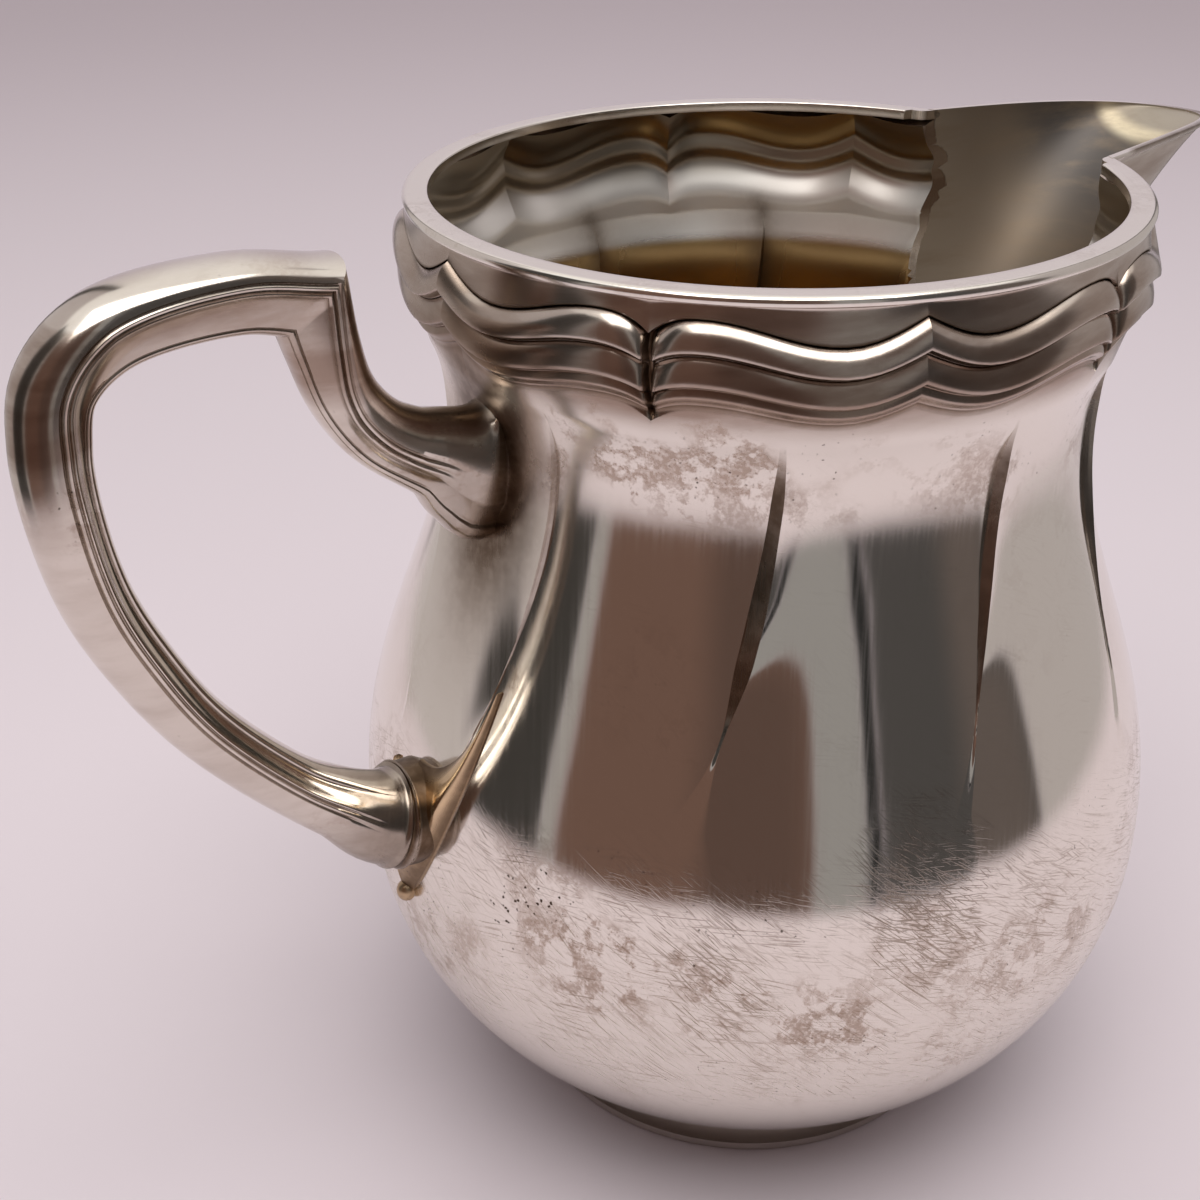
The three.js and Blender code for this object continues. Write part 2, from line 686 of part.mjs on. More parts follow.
const jug = new THREE.Group();
jug.name = 'milk_jug';
jug.add(piece('body_left_shell', bodyHalf(1).subtract(spoutOpening), POLISHED));
jug.add(piece('body_right_shell', bodyHalf(-1).subtract(spoutOpening), POLISHED));
jug.add(piece('base_disc', baseDisc(), WORN));
jug.add(piece('foot_ring', footRing(), WORN));
jug.add(piece('rim_wire', rimWire().subtract(spoutOpening), POLISHED));
jug.add(piece('spout', spoutHorn().subtract(spoutOpening), POLISHED));
jug.add(piece('handle_left_half', handleHalf(1).subtract(handleClearance), POLISHED));
jug.add(piece('handle_right_half', handleHalf(-1).subtract(handleClearance), POLISHED));
jug.add(piece('lower_handle_seat', handleSeat(), TARNISHED));

const overall = new THREE.Box3().setFromObject(jug);
jug.position.x = -(overall.min.x + overall.max.x) / 2;

export default jug;
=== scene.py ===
"""Milk jug in old worn silver: fine meshes, finishes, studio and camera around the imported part.

Sizes are in millimetres about the mouth's axis, and every piece rides on the one body of the part.
"""

import logging
import math
from collections.abc import Mapping, Sequence
from dataclasses import dataclass, field
from enum import Enum

import bmesh
import bpy
import numpy as np
from mathutils import Matrix, Vector


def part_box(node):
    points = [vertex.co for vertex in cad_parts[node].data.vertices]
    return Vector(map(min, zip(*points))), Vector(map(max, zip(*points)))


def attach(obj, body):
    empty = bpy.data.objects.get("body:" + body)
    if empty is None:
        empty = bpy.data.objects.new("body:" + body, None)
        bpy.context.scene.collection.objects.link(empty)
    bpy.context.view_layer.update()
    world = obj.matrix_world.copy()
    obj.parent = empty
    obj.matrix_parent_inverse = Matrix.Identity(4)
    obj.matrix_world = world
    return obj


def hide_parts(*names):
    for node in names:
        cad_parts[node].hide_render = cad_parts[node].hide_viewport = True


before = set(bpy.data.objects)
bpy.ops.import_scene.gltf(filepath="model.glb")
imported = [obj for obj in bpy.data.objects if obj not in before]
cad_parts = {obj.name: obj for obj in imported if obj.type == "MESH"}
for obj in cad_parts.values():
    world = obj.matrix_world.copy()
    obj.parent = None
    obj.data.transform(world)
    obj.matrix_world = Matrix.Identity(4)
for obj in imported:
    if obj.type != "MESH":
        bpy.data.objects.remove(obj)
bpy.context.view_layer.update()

MM = 0.001
ROOT_BODY = "root"
LOG = logging.getLogger("milk_jug")

Rows = list[tuple[float, ...]]
Colour = tuple[float, float, float]
Spot = tuple[float, float, float]
Socket = bpy.types.NodeSocket
SocketList = Sequence[tuple[str, str]]


class Side(Enum):
    """Half of the jug: left lies towards +Y and right towards -Y."""

    LEFT = 1
    RIGHT = -1


class Slot(Enum):
    """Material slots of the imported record."""

    POLISHED = "polished_silver"
    WORN = "worn_silver"
    HANDLE = "handle_silver"
    TARNISHED = "tarnished_silver"


class Mask(Enum):
    """Values that the points or the faces of a mesh carry and that its finish reads."""

    HOLLOW = "hollow"
    STAIN = "stain"
    INSIDE = "inside"
    CHANNEL = "channel"

    @property
    def on_faces(self) -> bool:
        """True for a mask that faces hold, so that it ends sharply at a cut."""
        return self in (Mask.INSIDE, Mask.CHANNEL)


@dataclass
class Skin:
    """A mesh in the making.

    Args:
        points: Points in millimetres about the mouth's axis, one row each.
        faces: Corner numbers of each face.
        masks: Values under each mask's name, one for each point or for each face.
    """

    points: np.ndarray
    faces: list[tuple[int, ...]]
    masks: dict[str, np.ndarray] = field(default_factory=dict)

    def joined(self, other: "Skin") -> "Skin":
        """Puts two closed forms in one mesh.

        Args:
            other: The second form.

        Returns:
            The skin of both.
        """
        shift = len(self.points)
        faces = self.faces + [tuple(corner + shift for corner in face) for face in other.faces]
        masks = {
            name: np.concatenate([values.ravel(), other.masks[name].ravel()])
            for name, values in self.masks.items()
        }
        return Skin(np.concatenate([self.points, other.points]), faces, masks)


def loft(rings: np.ndarray, masks: Mapping[Mask, np.ndarray], around: bool = False) -> Skin:
    """Joins closed rings of points into a closed skin.

    Args:
        rings: Array of stations, points of each ring and three coordinates.
        masks: Value of each mask at each point of each ring; a mask that isn't given is 0.
        around: True if the last ring meets the first; otherwise both ends are capped.

    Returns:
        The lofted skin.
    """
    stations, count, _ = rings.shape
    first = np.arange(stations if around else stations - 1)[:, None]
    second = (first + 1) % stations
    here = np.arange(count)[None, :]
    after = (here + 1) % count
    corners = [first * count + here, first * count + after, second * count + after, second * count + here]
    quads = np.stack(corners, axis=-1).reshape(-1, 4)
    faces = [tuple(quad) for quad in quads.tolist()]
    if not around:
        faces.append(tuple(range(count - 1, -1, -1)))
        faces.append(tuple(range((stations - 1) * count, stations * count)))
    named = {}
    for mask in Mask:
        values = np.broadcast_to(masks.get(mask, 0.0), (stations, count)).ravel()
        if mask.on_faces:
            values = np.concatenate([values[quads].min(axis=1), np.zeros(len(faces) - len(quads))])
        named[mask.value] = values
    return Skin(rings.reshape(-1, 3), faces, named)


def smooth_step(low: float, high: float, value: np.ndarray) -> np.ndarray:
    """Returns a value that eases from 0 at low to 1 at high."""
    share = np.clip((value - low) / (high - low), 0.0, 1.0)
    return share * share * (3.0 - 2.0 * share)


def spline(points: np.ndarray, steps: int) -> np.ndarray:
    """Samples a smooth line through given points.

    Args:
        points: One row for each point.
        steps: Samples from one point to the next.

    Returns:
        The samples, with the last point at the end.
    """
    ends = [2 * points[0] - points[1], *points, 2 * points[-1] - points[-2]]
    share = (np.arange(steps) / steps)[:, None]
    made = []
    for before, start, stop, after in zip(ends, ends[1:], ends[2:], ends[3:]):
        span = max(float(np.sum((stop - start) ** 2)) ** 0.25, 1e-4)
        lead = max(float(np.sum((start - before) ** 2)) ** 0.25, 1e-4)
        tail = max(float(np.sum((after - stop) ** 2)) ** 0.25, 1e-4)
        leave = (start - before) / lead - (stop - before) / (lead + span) + (stop - start) / span
        reach = (stop - start) / span - (after - start) / (span + tail) + (after - stop) / tail
        leave, reach = leave * span, reach * span
        square = -3 * start + 3 * stop - 2 * leave - reach
        cube = 2 * start - 2 * stop + leave + reach
        made.append(start + share * (leave + share * (square + share * cube)))
    return np.concatenate([*made, points[-1:]])


def bezier(points: Sequence[tuple[float, float]], share: np.ndarray) -> np.ndarray:
    """Samples a curve of four points.

    Args:
        points: Its ends and, between them, the points that pull it.
        share: Shares of its way.

    Returns:
        One row for each share.
    """
    start, lean, pull, stop = (np.array(point) for point in points)
    along = share[:, None]
    back = 1.0 - along
    return back**3 * start + 3 * back**2 * along * lean + 3 * back * along**2 * pull + along**3 * stop


@dataclass(frozen=True)
class Workbench:
    """Turns skins into objects and cuts one object with another.

    Args:
        axis_x: Place of the mouth's axis along X in the frame, in metres.
    """

    axis_x: float

    def make(self, name: str, skin: Skin) -> bpy.types.Object:
        """Makes an object from a skin.

        Args:
            name: Name of the object.
            skin: Points, faces and masks.

        Returns:
            The linked object with its faces turned outwards.
        """
        mesh = bpy.data.meshes.new(name)
        mesh.from_pydata((skin.points * MM + np.array([self.axis_x, 0.0, 0.0])).tolist(), [], skin.faces)
        for mask in Mask:
            layer = mesh.attributes.new(mask.value, "FLOAT", "FACE" if mask.on_faces else "POINT")
            layer.data.foreach_set("value", np.ascontiguousarray(skin.masks[mask.value], dtype=np.float32))
        work = bmesh.new()
        work.from_mesh(mesh)
        bmesh.ops.recalc_face_normals(work, faces=work.faces)
        work.to_mesh(mesh)
        work.free()
        made = bpy.data.objects.new(name, mesh)
        bpy.context.scene.collection.objects.link(made)
        return made

    def cut(self, target: bpy.types.Object, tool: bpy.types.Object) -> None:
        """Takes the tool's volume away from the target, which keeps its masks.

        Args:
            target: The object that is cut.
            tool: A closed object.
        """
        step = target.modifiers.new("cut", "BOOLEAN")
        step.operation = "DIFFERENCE"
        step.solver = "MANIFOLD"
        step.object = tool
        graph = bpy.context.evaluated_depsgraph_get()
        made = bpy.data.meshes.new_from_object(target.evaluated_get(graph))
        old = target.data
        name = old.name
        target.modifiers.clear()
        target.data = made
        bpy.data.meshes.remove(old)
        made.name = name

    def discard(self, *tools: bpy.types.Object) -> None:
        """Removes cutting tools from the scene."""
        for tool in tools:
            mesh = tool.data
            bpy.data.objects.remove(tool)
            bpy.data.meshes.remove(mesh)

    def settle(self, made: bpy.types.Object, sharp: float = 32.0) -> None:
        """Shades a finished piece, lets it ride on the part and stand for the node of its name.

        Args:
            made: The piece, which has the name of the node that it replaces.
            sharp: Angle in degrees above which an edge stays sharp.
        """
        mesh = made.data
        mesh.shade_smooth()
        mesh.set_sharp_from_angle(angle=math.radians(sharp))
        node = made.name.removesuffix("_skin")
        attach(made, ROOT_BODY)
        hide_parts(node)
        LOG.info("%s: %d faces", made.name, len(mesh.polygons))


@dataclass(frozen=True)
class Moulding:
    """One raised band of the border.

    Args:
        top: Its top edge below the rim where the wave is highest.
        height: Its height.
        start: How far its top edge stands from the border's base radius.
        stand: How far its crest stands.
        end: How far its foot stands.
        crest: Share of its height at which the crest lies.
        notch: Share of the notch's depth that it takes.
        shade: Tarnish in the line above it.
    """

    top: float
    height: float
    start: float
    stand: float
    end: float
    crest: float
    notch: float
    shade: float

    def rows(self) -> np.ndarray:
        """Lists the band's rows.

        Returns:
            Rows of drop, stand, notch share and hollow value, from top to foot.
        """
        turn = np.linspace(0.0, math.pi / 2, 9)
        rise_at = self.crest * (1.0 - np.cos(turn))
        rise = self.start + (self.stand - self.start) * np.sin(turn)
        fall_share = np.linspace(0.0, 1.0, 11)[1:]
        fall_at = self.crest + (1.0 - self.crest) * fall_share
        fall = self.end + (self.stand - self.end) * np.cos(fall_share * math.pi / 2) ** 2
        at = np.concatenate([rise_at, fall_at])
        stand = np.concatenate([rise, fall])
        line = self.shade * np.exp(-((turn / 0.22) ** 2))
        hollow = np.concatenate([line, 0.5 * self.shade * smooth_step(0.9, 1.0, fall_share)])
        notch = np.full(len(at), self.notch)
        return np.stack([self.top + at * self.height, stand, notch, hollow], axis=1)


@dataclass(frozen=True)
class BodyForm:
    """Shape of the body: bowl, shoulder and neck, twisted creases and the waved border.

    Angles run in degrees from the handle at 0 to the spout at 180, alike on both sides.
    """

    rim_height: float = 104.0
    belly_radius: float = 43.899
    belly_height: float = 35.5
    neck_radius: float = 32.55
    neck_height: float = 83.5
    neck_top: float = 90.755
    neck_flare: float = 0.9
    flare_from: float = 84.5
    shoulder_power: float = 1.1
    bowl_radius: float = 10.0
    bowl_depth: float = 34.3
    bottom: float = 4.0
    wall: float = 0.7
    border_wall: float = 1.3
    least_wall: float = 0.3
    border_radius: float = 35.3
    wave_depth: float = 2.3
    wave_shoulder: float = 0.2
    wave_lowest: float = 0.65
    wave_edge: float = 0.2
    wave_low: float = 0.71
    notch_curl: float = 1.9
    notch_round: float = 0.9
    notch_round_width: float = 3.2
    notch_slot: float = 1.5
    notch_slot_width: float = 0.25
    notch_shade_width: float = 0.36
    inner_blur: float = 1.0
    crease_pitch: float = 36.0
    crease_shifts: tuple[float, ...] = (-0.2, 0.4, 1.6, 1.6, 1.0)
    crease_top: float = 89.0
    crease_length: float = 34.0
    crease_swing: float = 10.7
    crease_swings: tuple[float, ...] = (0.86, 1.0, 1.0, 1.0, 1.0)
    crease_swing_power: float = 1.65
    crease_widths: tuple[float, ...] = (0.22, 1.0, 0.42, 0.36, 0.36)
    crease_shades: tuple[float, ...] = (0.45, 0.85, 0.7, 0.5, 0.5)
    crease_lifts: tuple[float, ...] = (0.6, 1.0, 0.9, 0.8, 0.8)
    crease_edge: float = 0.6
    crease_lift: float = 0.85
    crease_sink: float = 0.15
    mouldings: tuple[Moulding, ...] = (
        Moulding(1.9, 3.0, -0.25, 1.62, 0.7, 0.8, 1.0, 0.9),
        Moulding(4.9, 2.9, 0.42, 1.35, 0.5, 0.82, 0.9, 0.7),
        Moulding(7.8, 1.65, 0.4, 0.54, -0.1, 0.45, 0.5, 0.25),
    )
    fascia_top: float = 0.75
    fascia_stand: float = 0.42
    fascia_neck: float = 0.02
    fascia_flare: float = 0.42
    cove_drop: float = 10.2
    cove_stand: float = -0.5
    headroom: float = 6.0

    @property
    def pitch_half(self) -> float:
        """Half of the angle from one crease to the next."""
        return self.crease_pitch / 2

    def radius(self, z: np.ndarray) -> np.ndarray:
        """Works out the plain radius of the body.

        Args:
            z: Heights.

        Returns:
            The radius at each height.
        """
        fall = np.clip((self.belly_height - z) / self.bowl_depth, 0.0, 1.0)
        bowl = self.bowl_radius + (self.belly_radius - self.bowl_radius) * np.sqrt(1.0 - fall**2)
        climb = np.clip((z - self.belly_height) / (self.neck_height - self.belly_height), 0.0, None)
        mean = (self.belly_radius + self.neck_radius) / 2
        swing = (self.belly_radius - self.neck_radius) / 2
        above = np.clip((z - self.flare_from) / (self.neck_top - self.flare_from), 0.0, None)
        shoulder = mean + swing * np.cos(math.pi * climb**self.shoulder_power) + self.neck_flare * above**2
        return np.where(z < self.belly_height, bowl, shoulder)

    def slope(self, z: np.ndarray) -> np.ndarray:
        """Returns how fast the plain radius grows with height."""
        step = 0.01
        return (self.radius(z + step) - self.radius(z - step)) / (2 * step)

    def wave_share(self, angle: np.ndarray) -> np.ndarray:
        """Returns 0 at a notch of the border and 1 at a cusp."""
        return np.abs(np.mod(angle, 2 * self.crease_pitch) - self.crease_pitch) / self.crease_pitch

    def wave_drop(self, angle: np.ndarray) -> np.ndarray:
        """Works out the border's wave.

        Args:
            angle: Angles round the body.

        Returns:
            How far the border's lines dip below their cusps.
        """
        share = self.wave_share(angle)
        edge, low = self.wave_edge, self.wave_low
        curl = self.wave_shoulder + self.notch_curl * np.clip(1.0 - share / edge, 0.0, 1.0) ** 2.6
        sway = (1.0 - np.cos(math.pi * np.clip((share - edge) / (low - edge), 0.0, 1.0))) / 2
        middle = self.wave_shoulder + (self.wave_depth - self.wave_shoulder) * sway
        cusp = self.wave_depth * np.cos(math.pi / 2 * np.clip((share - low) / (1.0 - low), 0.0, 1.0))
        return np.where(share < edge, curl, np.where(share < low, middle, cusp))

    def notch_dip(self, angle: np.ndarray, soft: bool) -> np.ndarray:
        """Works out how the border is pressed in at its notches.

        Args:
            angle: Angles round the body.
            soft: True for the inside, which has no slot.

        Returns:
            The depth at each angle.
        """
        arc = self.wave_share(angle) * math.radians(self.crease_pitch) * self.border_radius
        rounded = self.notch_round * np.clip(1.0 - arc / self.notch_round_width, 0.0, 1.0) ** 2
        slot = self.notch_slot * np.exp(-((arc / self.notch_slot_width) ** 2))
        blurred = 0.6 * self.notch_round * np.exp(-((arc / (0.7 * self.notch_round_width)) ** 2))
        return blurred if soft else rounded + slot

    def columns(self) -> np.ndarray:
        """Spreads the columns of the mesh.

        Returns:
            Their angles, crowded at creases, cusps and notches.
        """
        edge = self.crease_edge
        near = [*np.linspace(0.0, edge, 5), edge + 0.05, edge + 0.16, edge + 0.36, edge + 0.7]
        far = [1.9, 2.8, 4.0, 5.5, 7.5, 9.5, 11.5, 13.0, 14.2, 15.2, 16.0, 16.6, 17.1]
        seam = [17.45, 17.7, 17.87, 17.96, self.pitch_half]
        side = np.array(near + far + seam)
        offsets = np.concatenate([-side[:0:-1], side])
        centres = self.pitch_half + self.crease_pitch * np.arange(len(self.crease_shifts))
        return np.unique(np.round((centres[:, None] + offsets[None, :]).ravel(), 4))

    def crease_height(self, z: np.ndarray) -> np.ndarray:
        """Shapes the creases along their length.

        Args:
            z: Heights.

        Returns:
            Their height as a share, pointed at the top and fading on the belly.
        """
        pointed = smooth_step(91.0, 84.5, z)
        sinking = 1.0 - 0.78 * smooth_step(77.0, 64.0, z)
        return pointed * sinking * smooth_step(45.0, 60.0, z)

    def crease_width(self, z: np.ndarray) -> np.ndarray:
        """Returns the width of the creases' faces in millimetres."""
        face = 0.55 + 0.45 * smooth_step(90.5, 84.0, z) + 0.5 * smooth_step(84.0, 73.0, z)
        return face - 1.25 * smooth_step(70.5, 63.0, z) + 5.4 * smooth_step(63.0, 50.0, z)

    def body_points(self, angles: np.ndarray, z: np.ndarray, inset: float) -> tuple[np.ndarray, ...]:
        """Places points of the body below the border.

        Args:
            angles: Angles of the columns.
            z: Heights of the rows.
            inset: How far inside the outer face the points lie.

        Returns:
            Angle, radius, height and hollow value of each column and row.
        """
        base = angles[:, None]
        height = z[None, :]
        number = np.clip(np.floor(base / self.crease_pitch), 0, len(self.crease_shifts) - 1)
        offset = base - (number + 0.5) * self.crease_pitch
        plain = self.radius(height)
        wide = self.crease_width(height) * np.array(self.crease_widths)[number.astype(int)]
        half = wide / plain * 90.0 / math.pi
        beyond = np.abs(offset) - self.crease_edge
        spread = half + beyond / (self.pitch_half - self.crease_edge) * (self.pitch_half - half)
        inner = offset / self.crease_edge * half
        moved = np.where(beyond <= 0.0, inner, np.sign(offset) * spread)
        shift = np.array(self.crease_shifts)[number.astype(int)]
        fade = 1.0 - np.abs(offset) / self.pitch_half
        shift = shift * fade * smooth_step(93.5, 89.0, height)
        span = np.clip((self.crease_top - height) / self.crease_length, 0.0, 1.0)
        ease = np.clip(np.minimum(base, 180.0 - base) / self.pitch_half, 0.0, 1.0)
        centres = (np.arange(len(self.crease_swings)) + 0.5) * self.crease_pitch
        swing = self.crease_swing * np.interp(base, centres, self.crease_swings)
        angle = base + (moved - offset) + shift - swing * span**self.crease_swing_power * ease
        lift, hollow = self.crease_lift_at(offset, moved, wide / 2, number, height, plain)
        tilt = self.slope(height)
        steep = np.sqrt(1.0 + tilt**2)
        radius = plain + lift - inset / steep + 0.0 * base
        level = height + inset * tilt / steep + 0.0 * base
        return angle + 0.0 * height, radius, level, hollow

    def crease_lift_at(
        self,
        offset: np.ndarray,
        moved: np.ndarray,
        half: np.ndarray,
        number: np.ndarray,
        z: np.ndarray,
        plain: np.ndarray,
    ) -> tuple[np.ndarray, np.ndarray]:
        """Works out how far the surface stands out beside and on the creases.

        Args:
            offset: Angle from the crease before the face is widened.
            moved: Angle from the crease.
            half: Half of the face's width.
            number: Number of the crease.
            z: Height.
            plain: Plain radius.

        Returns:
            Lift in millimetres, and the hollow value of the face.
        """
        towards = np.where(number < 0.5, -1.0, 1.0)
        across = np.radians(moved) * plain * towards
        share = np.clip((across + half) / (2 * half), 0.0, 1.0)
        soft = smooth_step(64.0, 57.0, z)
        share = share * (1.0 - soft) + smooth_step(0.0, 1.0, share) * soft
        face = -self.crease_sink + (self.crease_lift + self.crease_sink) * share
        away = np.clip(across - half, 0.0, None)
        proud = self.crease_lift * np.exp(-away / 2.3)
        under = -self.crease_sink * np.exp(np.clip(across + half, None, 0.0) / 2.5)
        lift = np.where(across > half, proud, np.where(across < -half, under, face))
        fade = np.clip(1.0 - np.abs(offset) / self.pitch_half, 0.0, 1.0)
        shade = np.array(self.crease_shades)[number.astype(int)]
        hollow = np.where(np.abs(offset) < self.crease_edge + 0.01, shade, 0.0)
        hollow = hollow * smooth_step(62.5, 66.0, z) * smooth_step(91.0, 86.0, z)
        height = np.array(self.crease_lifts)[number.astype(int)] * self.crease_height(z)
        return lift * smooth_step(0.0, 0.3, fade) * height, hollow

    def border_rows(self, soft: bool) -> np.ndarray:
        """Lists the border's rows from the rim down to the neck.

        Args:
            soft: True for the inside, where the pressed lines show blurred.

        Returns:
            Rows of drop, stand, notch share, hollow value and wave share.
        """
        first, last = self.mouldings[0], self.mouldings[-1]
        foot = last.top + last.height
        share = np.array([0.0, 0.04, 0.08, 0.13, 0.2, 0.3, 0.42, 0.55, 0.68, 0.8, 0.9, 0.95, 0.98])
        drop = self.fascia_top + share * (first.top - self.fascia_top)
        edge = (self.fascia_stand - self.fascia_neck) * np.exp(-share / 0.04)
        stand = self.fascia_neck + (self.fascia_flare - self.fascia_neck) * share**1.6 + edge
        close = smooth_step(0.9, 0.98, share)
        fascia = np.stack([drop, stand, 0.6 * close, 0.9 * close], axis=1)
        bands = np.concatenate([moulding.rows() for moulding in self.mouldings])
        turn = np.linspace(0.0, math.pi / 2, 8)
        sink = -0.2 + (self.cove_stand + 0.2) * np.sin(turn)
        cove_drop = foot + 0.02 + (self.cove_drop - foot) * (1.0 - np.cos(turn))
        cove = np.stack([cove_drop, sink, 0.4 * np.cos(turn), 1.0 - turn / (math.pi / 2)], axis=1)
        rows = np.concatenate([fascia, bands, cove])
        below = np.clip((rows[:, 0] - first.top) / (foot - first.top), 0.0, 1.0)
        above = np.clip((rows[:, 0] - self.fascia_top) / (first.top - self.fascia_top), 0.0, 1.0)
        wave = np.where(rows[:, 0] < first.top, above, 1.0 - (1.0 - self.wave_lowest) * below)
        rows = np.concatenate([rows, wave[:, None]], axis=1)
        if soft:
            drops = np.linspace(rows[0, 0], rows[-1, 0], 26)
            weight = np.exp(-(((drops[:, None] - rows[None, :, 0]) / self.inner_blur) ** 2))
            weight = weight * np.gradient(rows[:, 0])[None, :]
            rows = (weight @ rows) / weight.sum(axis=1, keepdims=True)
            rows[:, 0] = drops
        return rows

    def border_points(self, angles: np.ndarray, inset: float, soft: bool) -> tuple[np.ndarray, ...]:
        """Places points of the border.

        Args:
            angles: Angles of the columns.
            inset: How far inside the outer face the points lie.
            soft: True for the inside.

        Returns:
            Angle, radius, height and hollow value of each column and row, from the rim down.
        """
        drop, stand, notch, hollow, wave = self.border_rows(soft).T
        dip = self.notch_dip(angles, soft)[:, None]
        radius = self.border_radius + stand[None, :] - notch[None, :] * dip - inset
        if not soft:
            behind = self.border_rows(True)
            level, press = (np.interp(drop, behind[:, 0], behind[:, column])[None, :] for column in (1, 2))
            pressed = press * self.notch_dip(angles, True)[:, None]
            inner = self.border_radius + level - pressed - self.border_wall
            radius = np.maximum(radius, inner + self.least_wall)
        height = self.rim_height - drop[None, :] - wave[None, :] * self.wave_drop(angles)[:, None]
        arc = self.wave_share(angles) * math.radians(self.crease_pitch) * self.border_radius
        slot = np.exp(-((arc / self.notch_shade_width) ** 2))[:, None]
        slot = slot * np.clip(2.0 * notch[None, :], 0.0, 1.0)
        shade = np.maximum(hollow[None, :], slot)
        return np.broadcast_to(angles[:, None], radius.shape), radius, height, shade

    def outer_face(self, angles: np.ndarray, creased: bool = True) -> tuple[np.ndarray, ...]:
        """Places the points of the outer face.

        Args:
            angles: Angles of the columns.
            creased: False for a plain body without creases.

        Returns:
            Angle, radius, height and hollow value of each column and row, from the bottom up.
        """
        sweep = math.asin((self.belly_height - self.bottom) / self.bowl_depth)
        bowl = self.belly_height - self.bowl_depth * np.sin(np.linspace(sweep, 0.0, 40)[:-1])
        shoulder = np.linspace(self.belly_height, self.neck_top, 78)
        z = np.concatenate([bowl, shoulder])
        body = self.body_points(angles, z, 0.0)
        if not creased:
            plain = np.broadcast_to(self.radius(z)[None, :], body[1].shape)
            body = (np.broadcast_to(angles[:, None], plain.shape), plain, body[2], body[3])
        border = self.border_points(angles, 0.0, False)
        blend = self.strip([part[:, -1] for part in body], [part[:, -1] for part in border], 5)
        return tuple(
            np.concatenate([low, mid, high[:, ::-1]], axis=1) for low, mid, high in zip(body, blend, border)
        )

    def inner_face(self, angles: np.ndarray) -> tuple[np.ndarray, ...]:
        """Places the points of the inner face.

        Args:
            angles: Angles of the columns.

        Returns:
            Angle, radius, height and hollow value of each column and row, from the rim down.
        """
        shoulder = np.linspace(self.neck_top, self.belly_height, 34)
        z = np.concatenate([shoulder, np.linspace(34.0, self.bottom, 18)])
        body = self.body_points(angles, z, self.wall)
        border = self.border_points(angles, self.border_wall, True)
        blend = self.strip([part[:, -1] for part in border], [part[:, 0] for part in body], 3)
        return tuple(
            np.concatenate([high, mid, low], axis=1) for high, mid, low in zip(border, blend, body)
        )

    @staticmethod
    def strip(start: Sequence[np.ndarray], stop: Sequence[np.ndarray], count: int) -> tuple[np.ndarray, ...]:
        """Fills the space between two rows of points.

        Args:
            start: Values of the first row.
            stop: Values of the last row.
            count: How many rows go between.

        Returns:
            Values of the rows between them.
        """
        share = (np.arange(count) + 1.0) / (count + 1.0)
        return tuple(
            low[:, None] * (1.0 - share) + high[:, None] * share for low, high in zip(start, stop)
        )

    def envelope(self, margin: float, crown: float = 0.0) -> Skin:
        """Returns the filled body without creases.

        Args:
            margin: How far it is grown.
            crown: How far it steps in at the rim.

        Returns:
            Its closed skin.
        """
        half = self.columns()
        angles = np.concatenate([half, 360.0 - half[-2:0:-1]])
        folded = np.where(angles > 180.0, 360.0 - angles, angles)
        _, radius, height, _ = self.outer_face(folded, creased=False)
        around = np.radians(angles)[:, None]
        grown = radius + margin
        rings = np.stack([-grown * np.cos(around), grown * np.sin(around), height], axis=-1)
        shrink = 1.0 - crown / self.border_radius
        step = rings[:, -1:] * np.array([shrink, shrink, 1.0])
        cap = step.copy()
        cap[..., 2] = self.rim_height + self.headroom
        parts = [rings, step, cap] if crown > 0.0 else [rings, cap]
        return loft(np.swapaxes(np.concatenate(parts, axis=1), 0, 1), {})


@dataclass
class Assembly:
    """A sub-assembly.

    Args:
        made: The pieces that it has built.
    """

    made: list[bpy.types.Object] = field(default_factory=list, kw_only=True)

    def dress(self, finish: "Silver") -> None:
        """Gives every piece its finish."""
        finish.apply(*self.made)


